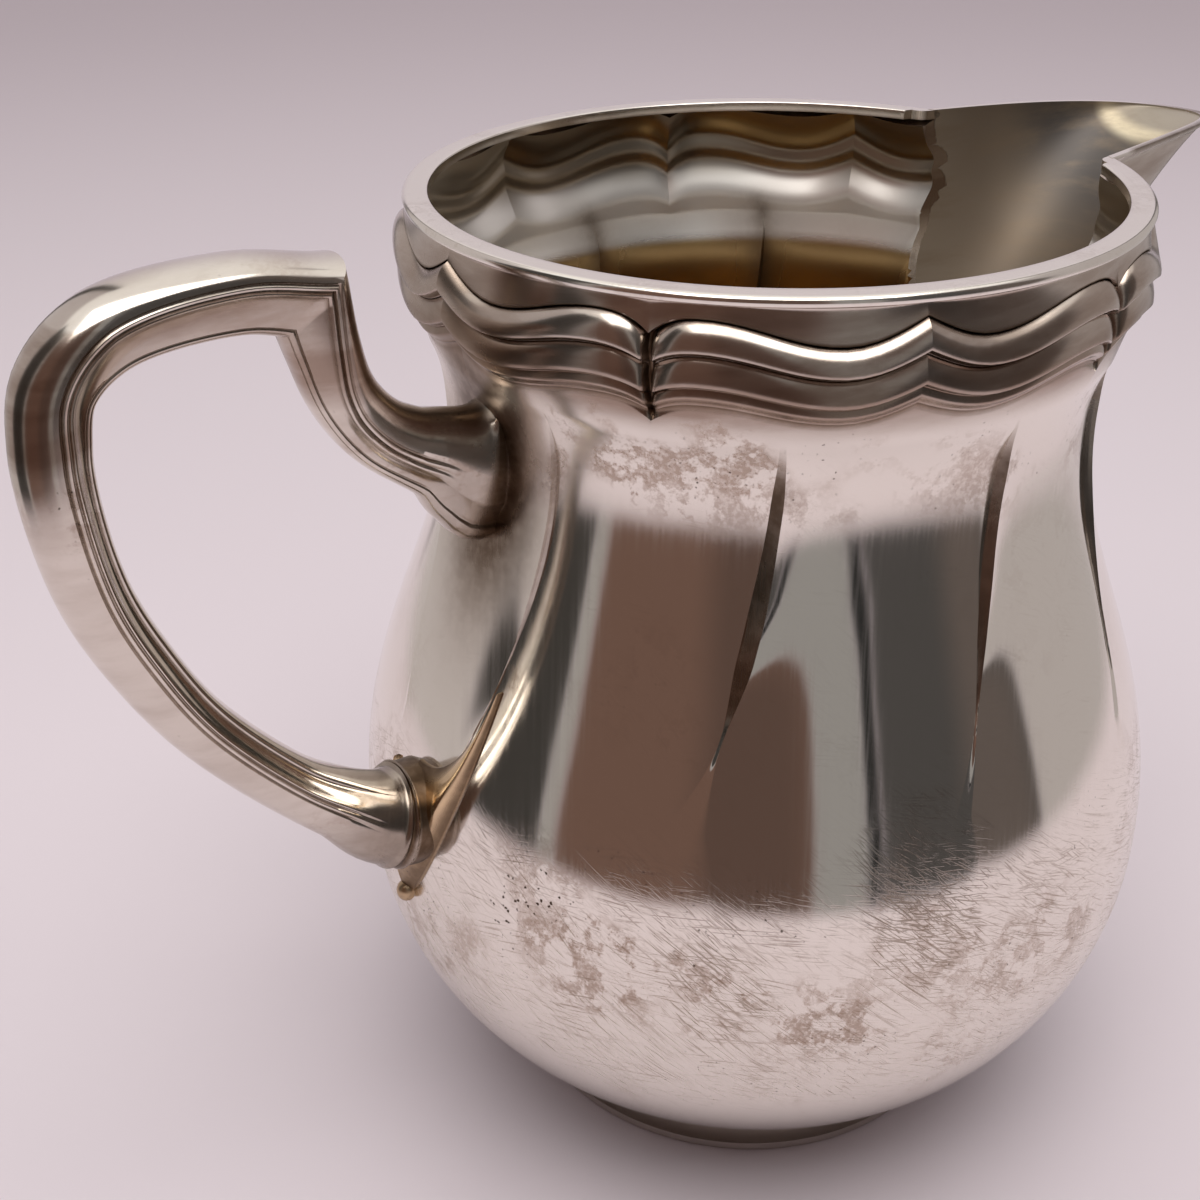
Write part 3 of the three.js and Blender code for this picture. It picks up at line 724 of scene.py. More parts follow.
@dataclass
class BodyShells(Assembly):
    """The two pressed halves of the body, which meet on the plane of the spout and the handle.

    Args:
        form: Shape of the body.
        joint_height: Height of the handle's upper joint.
        joint_half: Half width and half height of the stain round that joint.
        halo: Distance over which that stain fades.
        inner_shade: Painted shade along the creases inside, standing in for the shading of the bulging
            panels.
        inner_spread: Angle over which that painted shade fades, in degrees.
    """

    form: BodyForm
    joint_height: float = 82.3
    joint_half: tuple[float, float] = (3.9, 7.7)
    halo: float = 4.5
    inner_shade: float = 0.42
    inner_spread: float = 2.4

    def skin(self, side: Side) -> Skin:
        """Builds one half.

        Args:
            side: Which half.

        Returns:
            Its closed skin.
        """
        angles = self.form.columns()
        outer = self.form.outer_face(angles)
        inner = self.form.inner_face(angles)
        angle, radius, height, hollow = (np.concatenate(pair, axis=1) for pair in zip(outer, inner))
        around = np.radians(angle)
        rings = np.stack(
            [-radius * np.cos(around), side.value * radius * np.sin(around), height], axis=-1
        )
        inside = np.zeros_like(radius)
        inside[:, outer[0].shape[1]:] = 1.0
        pitch = self.form.crease_pitch
        offset = np.mod(angles, pitch)[:, None] - pitch / 2
        # Painted shade inside: dark streaks along the creases, darker where the bulging panels turn from the
        # light.
        core = np.exp(-((offset / self.inner_spread) ** 2))
        fringe = np.exp(-((offset / (3 * self.inner_spread)) ** 2))
        streak = self.inner_shade * (core + 0.45 * fringe) * smooth_step(95.0, 91.0, height)
        hollow = hollow * (1.0 - inside) + streak * inside
        stain = self.stain(rings) * (1.0 - inside)
        return loft(rings, {Mask.HOLLOW: hollow, Mask.STAIN: stain, Mask.INSIDE: inside})

    def stain(self, points: np.ndarray) -> np.ndarray:
        """Works out the stain round the handle's upper joint.

        Args:
            points: Points of the body.

        Returns:
            Its strength at each point.
        """
        wide, tall = self.joint_half
        across = np.abs(points[..., 1]) / wide
        up = (points[..., 2] - self.joint_height) / tall
        reach = np.sqrt(across**2 + up**2)
        away = np.clip(reach - 1.0, 0.0, None) * wide
        facing = smooth_step(5.0, -15.0, points[..., 0])
        return np.exp(-((away / self.halo) ** 1.5)) * facing

    def build(self, bench: Workbench, opening: bpy.types.Object) -> None:
        """Builds both halves and cuts the spout's opening in them.

        Args:
            bench: Workbench that makes and cuts the meshes.
            opening: Filled channel of the spout.
        """
        for side in Side:
            half = bench.make(f"body_{side.name.lower()}_shell_skin", self.skin(side))
            bench.cut(half, opening)
            bench.settle(half)
            self.made.append(half)


@dataclass
class RimWire(Assembly):
    """Flat wire soldered on the mouth, with a rounded outer edge.

    Args:
        inner_radius: Radius of the mouth.
        outer_radius: Outer radius of the wire.
        top: Height of its flat top.
        thickness: Its thickness.
        edge: Radius of its rounded outer edge.
        inner_edge: Radius of its rounded inner edge.
    """

    inner_radius: float = 33.3
    outer_radius: float = 35.8
    top: float = 104.0
    thickness: float = 1.0
    edge: float = 0.5
    inner_edge: float = 0.18

    def outline(self) -> np.ndarray:
        """Draws the wire's section.

        Returns:
            Radius and height of each point round it.
        """
        turn = np.linspace(0.0, math.pi / 2, 9)
        low = self.top - self.thickness
        wide = self.outer_radius - self.inner_radius
        outer = [
            (self.outer_radius - self.edge * (1 - math.sin(a)), self.top - self.edge * (1 - math.cos(a)))
            for a in turn
        ]
        small = self.inner_edge
        inner = [
            (self.inner_radius + small * (1 - math.sin(a)), self.top - small * (1 - math.cos(a)))
            for a in turn[::-2]
        ]
        flat = [(self.inner_radius + share * wide, self.top) for share in (0.3, 0.5, 0.7)]
        under = [
            (self.outer_radius - 0.08, low + 0.2),
            (self.outer_radius - 0.4, low),
            (self.inner_radius, low),
        ]
        return np.array(inner + flat + outer + under)

    def build(self, bench: Workbench, opening: bpy.types.Object) -> None:
        """Builds the wire and opens it at the spout.

        Args:
            bench: Workbench that makes and cuts the meshes.
            opening: Filled channel of the spout.
        """
        outline = self.outline()
        around = np.radians(np.arange(0.0, 360.0, 1.5))[:, None]
        radius, height = outline[None, :, 0], outline[None, :, 1]
        rings = np.stack(
            [-radius * np.cos(around), radius * np.sin(around), height + 0.0 * around], axis=-1
        )
        wire = bench.make("rim_wire_skin", loft(rings, {}, around=True))
        bench.cut(wire, opening)
        bench.settle(wire)
        self.made.append(wire)


@dataclass
class Spout(Assembly):
    """Open spout, a sheet channel set on the border and neck, with a flanged lip.

    Args:
        root: Distance of its root from the axis.
        reach: Distance of its tip from the axis.
        half_width: Half of its width at the root.
        sheet: Thickness of its lip.
        nose: Length of the closed tip.
        rim_height: Height of the mouth's rim.
        rise: How far the lip stands over the rim.
        tip_drop: How far the lip falls to the tip.
        depth: Depth of the channel at the root.
        keel_power: How fast the keel climbs.
        flange: Thickness of the lip's flange.
        thinning: How much the sheet thins below the flange.
        bell: Radius of the rounded corners where the opening meets the mouth.
        bell_from: Distance from the axis at which those corners begin.
        crown: How far the lip's ends lap over the rim.
        lip_shade: Strength of the painted shadow along the lip's edge on the right side.
        headroom: How far the cutting forms go on above the lip.
    """

    root: float = 34.0
    reach: float = 62.0
    half_width: float = 13.0
    sheet: float = 0.7
    nose: float = 1.6
    rim_height: float = 104.0
    rise: float = 0.03
    tip_drop: float = 1.4
    depth: float = 28.0
    keel_power: float = 1.7
    flange: float = 0.4
    thinning: float = 0.3
    bell: float = 1.2
    bell_from: float = 32.15
    crown: float = 0.4
    lip_shade: float = 0.9
    headroom: float = 30.0

    def fill(self, inset: float, headroom: float = 0.0, bell: float = 0.0, lining: float = 0.0) -> Skin:
        """Returns the filled channel from inside the mouth to the tip.

        Args:
            inset: How far inside the outer face the channel lies; 0 gives the flanged outer face.
            headroom: How far it goes on above the lip.
            bell: Radius of the rounded corners where it meets the mouth.
            lining: Value of the lining's mask.

        Returns:
            Its closed skin.
        """
        tip = self.reach - (self.nose if inset > 0.0 else 0.0)
        start = self.root - self.half_width
        share = np.linspace(0.0, 1.0, 110)
        reaches = start + (1.0 - (1.0 - share) ** 1.7) * (tip - start)
        reaches[-1] = tip - 0.01
        reaches = np.unique(np.concatenate([reaches, self.bell_from - bell * np.linspace(0.0, 1.0, 12)]))
        along = (reaches - self.root) / (tip - self.root)
        lip = self.rim_height + self.rise - self.tip_drop * np.clip(along, 0.0, None) ** 3
        depth = (self.depth - inset) * (1.0 - along) ** self.keel_power
        half = (self.half_width - inset) * np.sqrt(1.0 - along)
        inward = np.clip(self.bell_from - reaches, 0.0, bell)
        turn = np.concatenate([np.linspace(0.0, 0.25, 18)[:-1], np.linspace(0.25, math.pi - 0.25, 90)])
        turn = np.concatenate([turn, np.linspace(math.pi - 0.25, math.pi, 18)[1:]])
        below = depth[:, None] * np.sin(turn)[None, :]
        narrow = np.zeros_like(below)
        if inset == 0.0:
            narrow = self.thinning * smooth_step(self.flange, 2.2 * self.flange, below)
        rounding = (bell - np.sqrt(bell**2 - inward**2))[:, None] * smooth_step(7.0, 2.0, below)
        wide = np.clip(half[:, None] + rounding - narrow, 0.0, None)
        across = wide * np.cos(turn)[None, :]
        up = lip[:, None] - np.clip(below - 0.6 * narrow * np.sin(turn)[None, :], 0.0, None)
        middle = np.stack([np.broadcast_to(reaches[:, None], up.shape), across, up], axis=-1)
        if inset > 0.0:
            over = middle[:, [0, -1]] + np.array([0.0, 0.0, headroom])
            middle = np.concatenate([over[:, :1], middle, over[:, 1:]], axis=1)
            return loft(middle, {Mask.CHANNEL: np.full(middle.shape[:2], lining)})
        # Painted shadow: a dark line under the lip's flange, and along the lip's edge on the right side.
        edge = np.exp(-((below / 0.45) ** 2)) * np.where(across < 0.0, self.lip_shade, 0.0)
        edge = edge * smooth_step(self.root + 1.5, self.root + 4.0, reaches)[:, None]
        under = 0.5 * np.exp(-(((below - 1.6 * self.flange) / 0.3) ** 2))
        return loft(middle, {Mask.HOLLOW: np.maximum(under, edge)})

    def build(self, bench: Workbench, envelope: bpy.types.Object) -> None:
        """Builds the spout, hollows it and fits it to the body.

        Args:
            bench: Workbench that makes and cuts the meshes.
            envelope: Filled body that the spout's root is fitted to.
        """
        horn = bench.make("spout_skin", self.fill(0.0))
        channel = bench.make("spout_channel", self.fill(self.sheet, self.headroom, lining=1.0))
        bench.cut(horn, channel)
        bench.cut(horn, envelope)
        bench.discard(channel)
        bench.settle(horn)
        self.made.append(horn)


@dataclass
class Handle(Assembly):
    """Hollow reeded handle in two halves, with a mitred corner at the thumb.

    Rows of the lines hold shares of the reach and rise, half depth, half width and the reeds' level.
    """

    form: BodyForm
    out: float = 28.83
    rise: float = 56.69
    half_width: float = 3.6
    half_depth: float = 3.2
    lower_joint: float = 46.0
    upper_joint: float = 82.3
    overrun: float = 7.0
    joint_inset: float = 1.0
    mitre_length: float = 7.0
    spacing: float = 0.75
    collar: tuple[float, float] = (1.2, 4.6)
    collar_spacing: float = 0.1
    collar_rings: tuple[float, ...] = (2.3, 3.1)
    collar_ring_width: float = 0.22
    collar_ring_gap: float = 0.2
    collar_stand: float = 0.055
    plain_end: tuple[float, float] = (10.5, 5.0)
    facet_end: tuple[float, float] = (2.5, 9.5)
    groove_shade: float = 0.5
    knob_shade: float = 0.48
    grip: Rows = field(default_factory=lambda: [
        (-0.242, 0.0, 1.7, 1.45, -0.25),
        (0.045, 0.0, 1.7, 1.45, -0.25),
        (0.145, 0.016, 1.5, 1.32, -0.25),
        (0.287, 0.074, 1.1, 1.08, -0.25),
        (0.446, 0.147, 0.93, 0.94, -0.25),
        (0.713, 0.316, 0.9, 0.9, -0.25),
        (0.865, 0.463, 0.94, 0.94, -0.28),
        (0.955, 0.587, 0.96, 0.97, -0.3),
        (1.0, 0.73, 0.98, 1.0, -0.3),
        (1.0, 0.833, 1.0, 1.0, -0.25),
        (0.955, 0.92, 1.02, 1.0, -0.1),
        (0.8, 0.982, 1.05, 1.02, 0.15),
        (0.436, 1.0, 1.02, 1.03, 0.3),
        (0.208, 0.979, 1.08, 1.05, 0.3),
    ])
    arm: Rows = field(default_factory=lambda: [
        (0.0, 0.0, 1.08, 1.05, 0.3),
        (0.054, 0.233, 1.0, 1.0, 0.1),
        (0.121, 0.434, 0.97, 0.95, -0.1),
        (0.208, 0.571, 0.98, 0.92, -0.2),
        (0.349, 0.709, 1.03, 0.92, -0.2),
        (0.523, 0.81, 1.13, 0.93, -0.2),
        (0.711, 0.889, 1.38, 0.97, -0.2),
        (0.879, 0.968, 1.94, 1.03, -0.22),
        (1.0, 1.0, 2.4, 1.07, -0.24),
        (1.4, 1.0, 2.4, 1.07, -0.24),
    ])

    def stations(self) -> tuple[np.ndarray, ...]:
        """Samples the line and the section along it.

        Returns:
            Place, direction, depth, width, reed level, mitre lean, plainness, crispness of the reeds
            and tarnish and painted shade of each station.
        """
        low = float(self.form.radius(np.array(self.lower_joint)))
        high = float(self.form.radius(np.array(self.upper_joint)))
        grip = np.array(self.grip)
        arm = np.array(self.arm)
        corner = np.array([low + grip[-1, 0] * self.out, self.lower_joint + grip[-1, 1] * self.rise])
        joint = np.array([high + self.joint_inset, self.upper_joint])
        grip_line = np.stack([low + grip[:, 0] * self.out, self.lower_joint + grip[:, 1] * self.rise], axis=1)
        arm_line = corner + arm[:, :2] * (joint - corner)
        fine = 40
        runs = []
        for line, rows in ((grip_line, grip), (arm_line, arm)):
            place = spline(line, fine)
            way = np.gradient(place, axis=0)
            way = way / np.linalg.norm(way, axis=1, keepdims=True)
            runs.append(np.concatenate([place, way, spline(rows[:, 2:], fine)], axis=1))
        turn = math.acos(float(np.clip(np.dot(runs[0][-1, 2:4], runs[1][0, 2:4]), -1.0, 1.0)))
        grip_run = self.respaced(runs[0], np.arange(*self.collar, self.collar_spacing) + self.overrun)
        arm_run = self.respaced(runs[1], np.array([]))[1:]
        run = np.concatenate([grip_run, arm_run])
        sign = np.concatenate([np.ones(len(grip_run)), -np.ones(len(arm_run))])
        away = np.linalg.norm(run[:, :2] - corner, axis=1)
        lean = sign * math.tan(turn / 2) * np.clip(1.0 - away / self.mitre_length, 0.0, 1.0)
        off_body = run[:, 0] - low
        lower = np.where((sign > 0.0) & (run[:, 1] < self.lower_joint + 12.0), 1.0, 0.0)
        rings = sum(np.exp(-(((off_body - at) / self.collar_ring_width) ** 2)) for at in self.collar_rings)
        swell = 1.0 + self.collar_stand * rings * lower
        plain = smooth_step(*self.plain_end, off_body) * lower
        off_neck = run[:, 0] - high
        crisp = np.where(sign > 0.0, 1.0, smooth_step(*self.facet_end, off_neck))
        between = (off_body - sum(self.collar_rings) / 2) / self.collar_ring_gap
        groove = np.exp(-(between**2)) + smooth_step(2.0, 1.5, off_body)
        # Dark joint line at the upper end, and painted shade that darkens the trumpet for the dark it
        # reflects.
        soiled = smooth_step(2.0, 0.6, off_neck) + 0.3 * smooth_step(9.0, 2.0, off_neck)
        joint_line_and_shade = np.where(sign > 0.0, 0.0, soiled)
        # Painted shade: the plain knob at the lower end darkens towards the body, for the dark it reflects.
        dull = self.knob_shade * smooth_step(11.0, 4.0, off_body)
        shade = np.clip((groove + dull) * lower + joint_line_and_shade, 0.0, 1.0)
        depth = run[:, 4] * self.half_depth * swell
        width = run[:, 5] * self.half_width * swell
        return run[:, :2], run[:, 2:4], depth, width, run[:, 6], lean, plain, crisp, shade

    def respaced(self, run: np.ndarray, extra: np.ndarray) -> np.ndarray:
        """Spreads a sampled line evenly.

        Args:
            run: Rows of the line.
            extra: Distances from its start that get stations of their own.

        Returns:
            The new rows.
        """
        steps = np.linalg.norm(np.diff(run[:, :2], axis=0), axis=1)
        on = np.concatenate([[0.0], np.cumsum(steps)])
        marks = np.linspace(0.0, on[-1], math.ceil(on[-1] / self.spacing))
        marks = np.unique(np.round(np.concatenate([marks, extra]), 4))
        return np.stack([np.interp(marks, on, column) for column in run.T], axis=1)

    @staticmethod
    def section(reed: np.ndarray, crisp: np.ndarray) -> tuple[np.ndarray, ...]:
        """Returns the half section at each station from the back to the inner edge.

        Args:
            reed: Level of the reeds at each station.
            crisp: How far the reeds stand out at each station; 0 leaves plain facets.

        Returns:
            Shares of the width and of the depth, and the hollow value, at each point.
        """
        level = reed[:, None]
        turn = np.concatenate([[0.0, 0.02], np.linspace(0.1, math.pi / 2, 15)])[None, :]
        top = level + 0.25
        plain = 0.0 * turn + 0.0 * level
        back = (0.965 * np.sin(turn) + plain, top + (1.0 - top) * np.cos(turn), plain)
        reeds = np.array([
            (0.93, 0.215, 0.8), (0.925, 0.19, 1.0), (0.945, 0.17, 0.5), (0.995, 0.135, 0.0),
            (1.0, 0.1, 0.0), (0.985, 0.06, 0.0), (0.93, 0.03, 0.6), (0.9, 0.01, 1.0),
            (0.905, -0.015, 0.8), (0.95, -0.05, 0.0), (0.955, -0.08, 0.0), (0.935, -0.115, 0.0),
            (0.885, -0.145, 0.5), (0.865, -0.165, 0.8),
        ])
        clear = crisp[:, None]
        facet = np.linspace(0.963, 0.868, len(reeds))[None, :]
        lines = (
            facet + clear * (reeds[None, :, 0] - facet),
            level + reeds[None, :, 1],
            reeds[None, :, 2] * clear,
        )
        share = np.linspace(0.12, 1.0, 9)[None, :]
        start = level - 0.165
        sag = 0.035 * np.sin(math.pi * share)
        even = 0.0 * share + 0.0 * level
        band = (0.865 - 0.305 * share - sag + even, start + (-0.7 - start) * share, even)
        beads = np.array([
            (0.535, -0.715, 0.9), (0.53, -0.73, 1.0), (0.545, -0.755, 0.6), (0.55, -0.79, 0.0),
            (0.52, -0.85, 0.0), (0.44, -0.915, 0.0), (0.32, -0.965, 0.0), (0.17, -0.993, 0.0),
            (0.02, -1.0, 0.0), (0.0, -1.0, 0.0),
        ])
        edge = tuple(beads[None, :, column] + 0.0 * level for column in (0, 1)) + (beads[None, :, 2] * clear,)
        return tuple(np.concatenate(parts, axis=1) for parts in zip(back, lines, band, edge))

    def skin(self, side: Side) -> Skin:
        """Builds one half.

        Args:
            side: Which half.

        Returns:
            Its closed skin.
        """
        place, way, depth, width, reed, lean, plain, crisp, shade = self.stations()
        across, out, hollow = self.section(reed, crisp)
        turn = np.arctan2(across, out)
        smooth = plain[:, None]
        across = across * (1.0 - smooth) + np.sin(turn) * smooth
        out = out * (1.0 - smooth) + np.cos(turn) * smooth
        hollow = np.maximum(self.groove_shade * hollow * (1.0 - smooth), shade[:, None])
        outward = np.stack([way[:, 1], -way[:, 0]], axis=1)
        reach = out * depth[:, None]
        leaning = outward[:, None, :] + lean[:, None, None] * way[:, None, :]
        spot = place[:, None, :] + reach[..., None] * leaning
        rings = np.stack([-spot[..., 0], side.value * across * width[:, None], spot[..., 1]], axis=-1)
        return loft(rings, {Mask.HOLLOW: hollow})

    def build(self, bench: Workbench, envelope: bpy.types.Object) -> None:
        """Builds both halves and fits their ends to the body.

        Args:
            bench: Workbench that makes and cuts the meshes.
            envelope: Filled body that the ends are fitted to.
        """
        for side in Side:
            half = bench.make(f"handle_{side.name.lower()}_half_skin", self.skin(side))
            bench.cut(half, envelope)
            bench.settle(half, 40.0)
            self.made.append(half)


@dataclass
class HandleSeat(Assembly):
    """Crescent seat that hugs the body behind the handle's lower end.

    Args:
        form: Shape of the body.
        joint: Height of the handle's lower joint.
        half_width: Half of the seat's width.
        bottom: Its lowest point below the joint.
        top: Its upper edge in the middle above the joint.
        horn: Its long tip above the joint.
        far_horn: The tip on the other side above the joint.
        far_share: Width of that side as a share of the near one.
        thickness: Its greatest thickness.
        drop_radius: Radius of the drop at its foot.
    """

    form: BodyForm
    joint: float = 46.0
    half_width: float = 9.0
    bottom: float = 10.5
    top: float = 5.6
    horn: float = 16.5
    far_horn: float = 3.4
    far_share: float = 0.6
    thickness: float = 1.75
    drop_radius: float = 1.05

    def wing(self, horn: float, wide: float) -> tuple[np.ndarray, np.ndarray]:
        """Works out one side of the seat.

        Args:
            horn: Height of its tip above the joint.
            wide: Its width from the middle.

        Returns:
            Rings from the middle to the tip, on the side of -Y, and their hollow values.
        """
        low = self.joint - self.bottom
        tip = (0.94 * wide, self.joint + horn)
        way = np.concatenate([np.linspace(0.0, 0.9, 30), np.linspace(0.92, 0.995, 8)])
        lean, flank = low + 0.14 * self.bottom, self.joint - 0.02 * horn
        outer = bezier([(0.0, low), (0.14 * wide, lean), (0.92 * wide, flank), tip], way)
        ridge, fork = self.joint + min(self.top, 0.8 * horn), self.joint + 0.64 * horn
        inner = bezier([(0.0, ridge), (0.6 * wide, ridge), (0.82 * wide, fork), tip], way)
        share = np.linspace(0.0, 1.0, 16)
        roof = 0.2 + 0.8 * np.sin(math.pi * share) ** 0.75
        spot = outer[:, None, :] * (1.0 - share)[None, :, None] + inner[:, None, :] * share[None, :, None]
        stand = self.thickness * (1.0 - 0.72 * way[:, None] ** 2) * roof[None, :]
        spots = np.concatenate([spot, spot[:, ::-1]], axis=1)
        lift = np.concatenate([stand, np.full(stand.shape, -0.3)], axis=1)
        rounded = np.maximum(0.75 * smooth_step(0.4, 0.05, share), smooth_step(0.85, 1.0, share))
        edge = np.broadcast_to(rounded, stand.shape)
        hollow = np.concatenate([edge, 0.0 * stand], axis=1)
        across, level = spots[..., 0], spots[..., 1]
        radius = self.form.radius(level) + lift
        depth = -np.sqrt(np.clip(radius**2 - across**2, 0.0, None))
        return np.stack([depth, -across, level], axis=-1), hollow

    def drop(self) -> Skin:
        """Builds the small drop that ends the seat below.

        Returns:
            Its closed skin.
        """
        low = self.joint - self.bottom
        centre = np.array([-float(self.form.radius(np.array(low))) - 0.6, 0.0, low + 0.6])
        turn = np.linspace(0.02, math.pi - 0.02, 14)
        around = np.linspace(0.0, 2 * math.pi, 25)[:-1]
        ball = np.stack([
            np.sin(turn)[:, None] * np.cos(around)[None, :],
            np.sin(turn)[:, None] * np.sin(around)[None, :],
            np.broadcast_to(-1.15 * np.cos(turn)[:, None], (len(turn), len(around))),
        ], axis=-1)
        return loft(centre + self.drop_radius * ball, {Mask.HOLLOW: np.full(ball.shape[:2], 0.3)})

    def skin(self) -> Skin:
        """Joins both wings of the seat and its drop.

        Returns:
            Their closed skins.
        """
        near, near_hollow = self.wing(self.horn, self.half_width)
        far, far_hollow = self.wing(self.far_horn, self.far_share * self.half_width)
        rings = np.concatenate([far[:0:-1] * np.array([1.0, -1.0, 1.0]), near])
        shade = np.concatenate([far_hollow[:0:-1], near_hollow])
        return loft(rings, {Mask.HOLLOW: shade}).joined(self.drop())

    def build(self, bench: Workbench) -> None:
        """Builds the seat.

        Args:
            bench: Workbench that makes and cuts the meshes.
        """
        seat = bench.make("lower_handle_seat_skin", self.skin())
        bench.settle(seat)
        self.made.append(seat)


@dataclass
class FootAndBase(Assembly):
    """Moulded foot ring and the domed disc that closes the bottom inside it.

    Args:
        form: Shape of the body.
        radius: Outer radius of the ring.
        height: Height of the ring.
        flat: Width of its flat underside.
        ledge: How far its ledge goes in under the body.
        base_rise: Rise of the disc's middle.
        base_thickness: Thickness of the disc.
        lip: Radius of the ring's rounded lower edge.
        cove_from: Height at which its cove begins.
        cove_stand: How far the cove ends in front of the body.
        cove_shade: Tarnish in the cove.
    """

    form: BodyForm
    radius: float = 26.9
    height: float = 4.0
    flat: float = 3.4
    ledge: float = 3.0
    base_rise: float = 1.2
    base_thickness: float = 0.9
    lip: float = 0.6
    cove_from: float = 1.3
    cove_stand: float = 0.25
    cove_shade: float = 0.18

    def turned(self, outline: np.ndarray, ring: bool = True) -> Skin:
        """Turns an outline about the axis.

        Args:
            outline: Rows of radius, height, hollow value and the lining's mask.
            ring: True for a ring; otherwise both ends of the outline are closed by caps at the axis.

        Returns:
            The closed skin.
        """
        around = np.radians(np.arange(0.0, 360.0, 2.0))[:, None]
        radius = outline[None, :, 0]
        turns = np.stack(
            [-radius * np.cos(around), radius * np.sin(around), outline[None, :, 1] + 0.0 * around], axis=-1
        )
        hollow, inside = outline[:, 2], outline[:, 3]
        if ring:
            return loft(turns, {Mask.HOLLOW: hollow, Mask.INSIDE: inside}, around=True)
        return loft(np.swapaxes(turns, 0, 1), {Mask.HOLLOW: hollow[:, None], Mask.INSIDE: inside[:, None]})

    def build(self, bench: Workbench) -> None:
        """Builds the ring and the disc.

        Args:
            bench: Workbench that makes and cuts the meshes.
        """
        seat = float(self.form.radius(np.array(self.height)))
        turn = np.linspace(0.0, math.pi / 2, 12)
        lip, low = self.lip, self.cove_from
        sunk = self.radius - seat - self.cove_stand
        rounded = [
            (self.radius - lip + lip * math.cos(a), lip - lip * math.sin(a), 0.0, 0.0) for a in turn[::-1]
        ]
        cove = [
            (
                self.radius - sunk * math.sin(a),
                low + (self.height - low) * (1 - math.cos(a)),
                self.cove_shade * math.sin(a) ** 3,
                0.0,
            )
            for a in turn
        ]
        inside = [(seat - self.ledge, self.height, 0.0, 0.0), (self.radius - self.flat, 0.0, 0.0, 0.0)]
        ring = bench.make("foot_ring_skin", self.turned(np.array(inside + rounded + cove)))
        bench.settle(ring)
        edge = seat + 0.2
        share = np.concatenate([[0.004], np.linspace(0.06, 1.0, 14)])
        rise = self.base_rise * (1.0 - share**2)
        level = self.height + 0.25
        shade = (share > 0.95).astype(float)
        under = np.stack([edge * share, level + rise, shade, np.zeros_like(share)], axis=1)
        top = level + self.base_thickness + rise
        over = np.stack([edge * share, top, shade, np.ones_like(share)], axis=1)
        disc = bench.make("base_disc_skin", self.turned(np.concatenate([under, over[::-1]]), ring=False))
        bench.settle(disc)
        self.made += [ring, disc]


class Graph:
    """Short hand for building a node tree.

    Args:
        tree: The node tree that takes the nodes.
    """

    def __init__(self, tree: bpy.types.NodeTree) -> None:
        """Keeps the tree."""
        self.tree = tree

    def node(
        self, kind: str, inputs: Mapping[str | int, object] | None = None, **settings: object
    ) -> bpy.types.Node:
        """Adds a node.

        Args:
            kind: Node type.
            inputs: Values or sockets for its inputs.
            settings: Values for its own properties.

        Returns:
            The node.
        """
        made = self.tree.nodes.new(kind)
        for name, value in settings.items():
            setattr(made, name, value)
        for name, value in (inputs or {}).items():
            self.feed(made.inputs[name], value)
        return made

    def feed(self, socket: Socket, value: object) -> None:
        """Links a socket to an input, or sets its value.

        Args:
            socket: The input.
            value: A socket or a plain value.
        """
        if isinstance(value, Socket):
            self.tree.links.new(value, socket)
        else:
            socket.default_value = value

    def math(self, operation: str, *values: object, clamp: bool = False) -> Socket:
        """Adds a math node and returns its output."""
        made = self.node("ShaderNodeMath", dict(enumerate(values)), operation=operation, use_clamp=clamp)
        return made.outputs[0]

    def vector(self, operation: str, *values: object) -> Socket:
        """Adds a vector math node and returns its output: a value for a length, or else a vector."""
        made = self.node("ShaderNodeVectorMath", dict(enumerate(values)), operation=operation)
        return made.outputs["Value" if operation in ("DISTANCE", "LENGTH", "DOT_PRODUCT") else "Vector"]

    def ramp(self, value: object, low: float, high: float, start: float = 0.0, stop: float = 1.0) -> Socket:
        """Adds a smooth ramp from start at low to stop at high and returns its output."""
        inputs = {"Value": value, "From Min": low, "From Max": high, "To Min": start, "To Max": stop}
        return self.node("ShaderNodeMapRange", inputs, interpolation_type="SMOOTHSTEP").outputs[0]

    def blend(self, share: object, first: object, second: object) -> Socket:
        """Adds a mix of two colours.

        Args:
            share: Share of the second.
            first: A socket or a tone.
            second: A socket or a tone.

        Returns:
            Its output.
        """
        made = self.node("ShaderNodeMix", data_type="RGBA")
        self.feed(made.inputs[0], share)
        for number, value in ((6, first), (7, second)):
            self.feed(made.inputs[number], (*value, 1.0) if isinstance(value, tuple) else value)
        return made.outputs[2]

    def noise(self, vector: object, scale: float, detail: float = 2.0, rough: float = 0.5) -> Socket:
        """Adds a noise texture and returns its value."""
        inputs = {"Vector": vector, "Scale": scale, "Detail": detail, "Roughness": rough}
        return self.node("ShaderNodeTexNoise", inputs).outputs[0]

    def placed(self, group: bpy.types.NodeTree, values: Sequence[object]) -> bpy.types.NodeOutputs:
        """Places a node group, feeds its inputs in order and returns its outputs."""
        made = self.node("ShaderNodeGroup", dict(enumerate(values)), node_tree=group)
        return made.outputs

    def drawn(self, vector: object, heading: float, slope: float, across: float, along: float) -> Socket:
        """Adds a mapping that draws a texture out into lines on a face.

        Args:
            vector: Place on the object.
            heading: Direction in which the face looks, in degrees round the vertical.
            slope: How steeply the lines climb on it, in degrees.
            across: Lines to the metre.
            along: Breaks in each line to the metre.

        Returns:
            The mapped place.
        """
        turn, climb = math.radians(heading), math.radians(slope)
        outward = Vector((math.cos(turn), math.sin(turn), 0.0))
        level = Vector((-math.sin(turn), math.cos(turn), 0.0))
        line = math.cos(climb) * level + math.sin(climb) * Vector((0.0, 0.0, 1.0))
        axes = Matrix((line.cross(outward), line, outward)).transposed()
        scale = (1.0 / across, 1.0 / along, 2.0 / along)
        inputs = {"Vector": vector, "Rotation": axes.to_euler(), "Scale": scale}
        return self.node("ShaderNodeMapping", inputs, vector_type="TEXTURE").outputs[0]


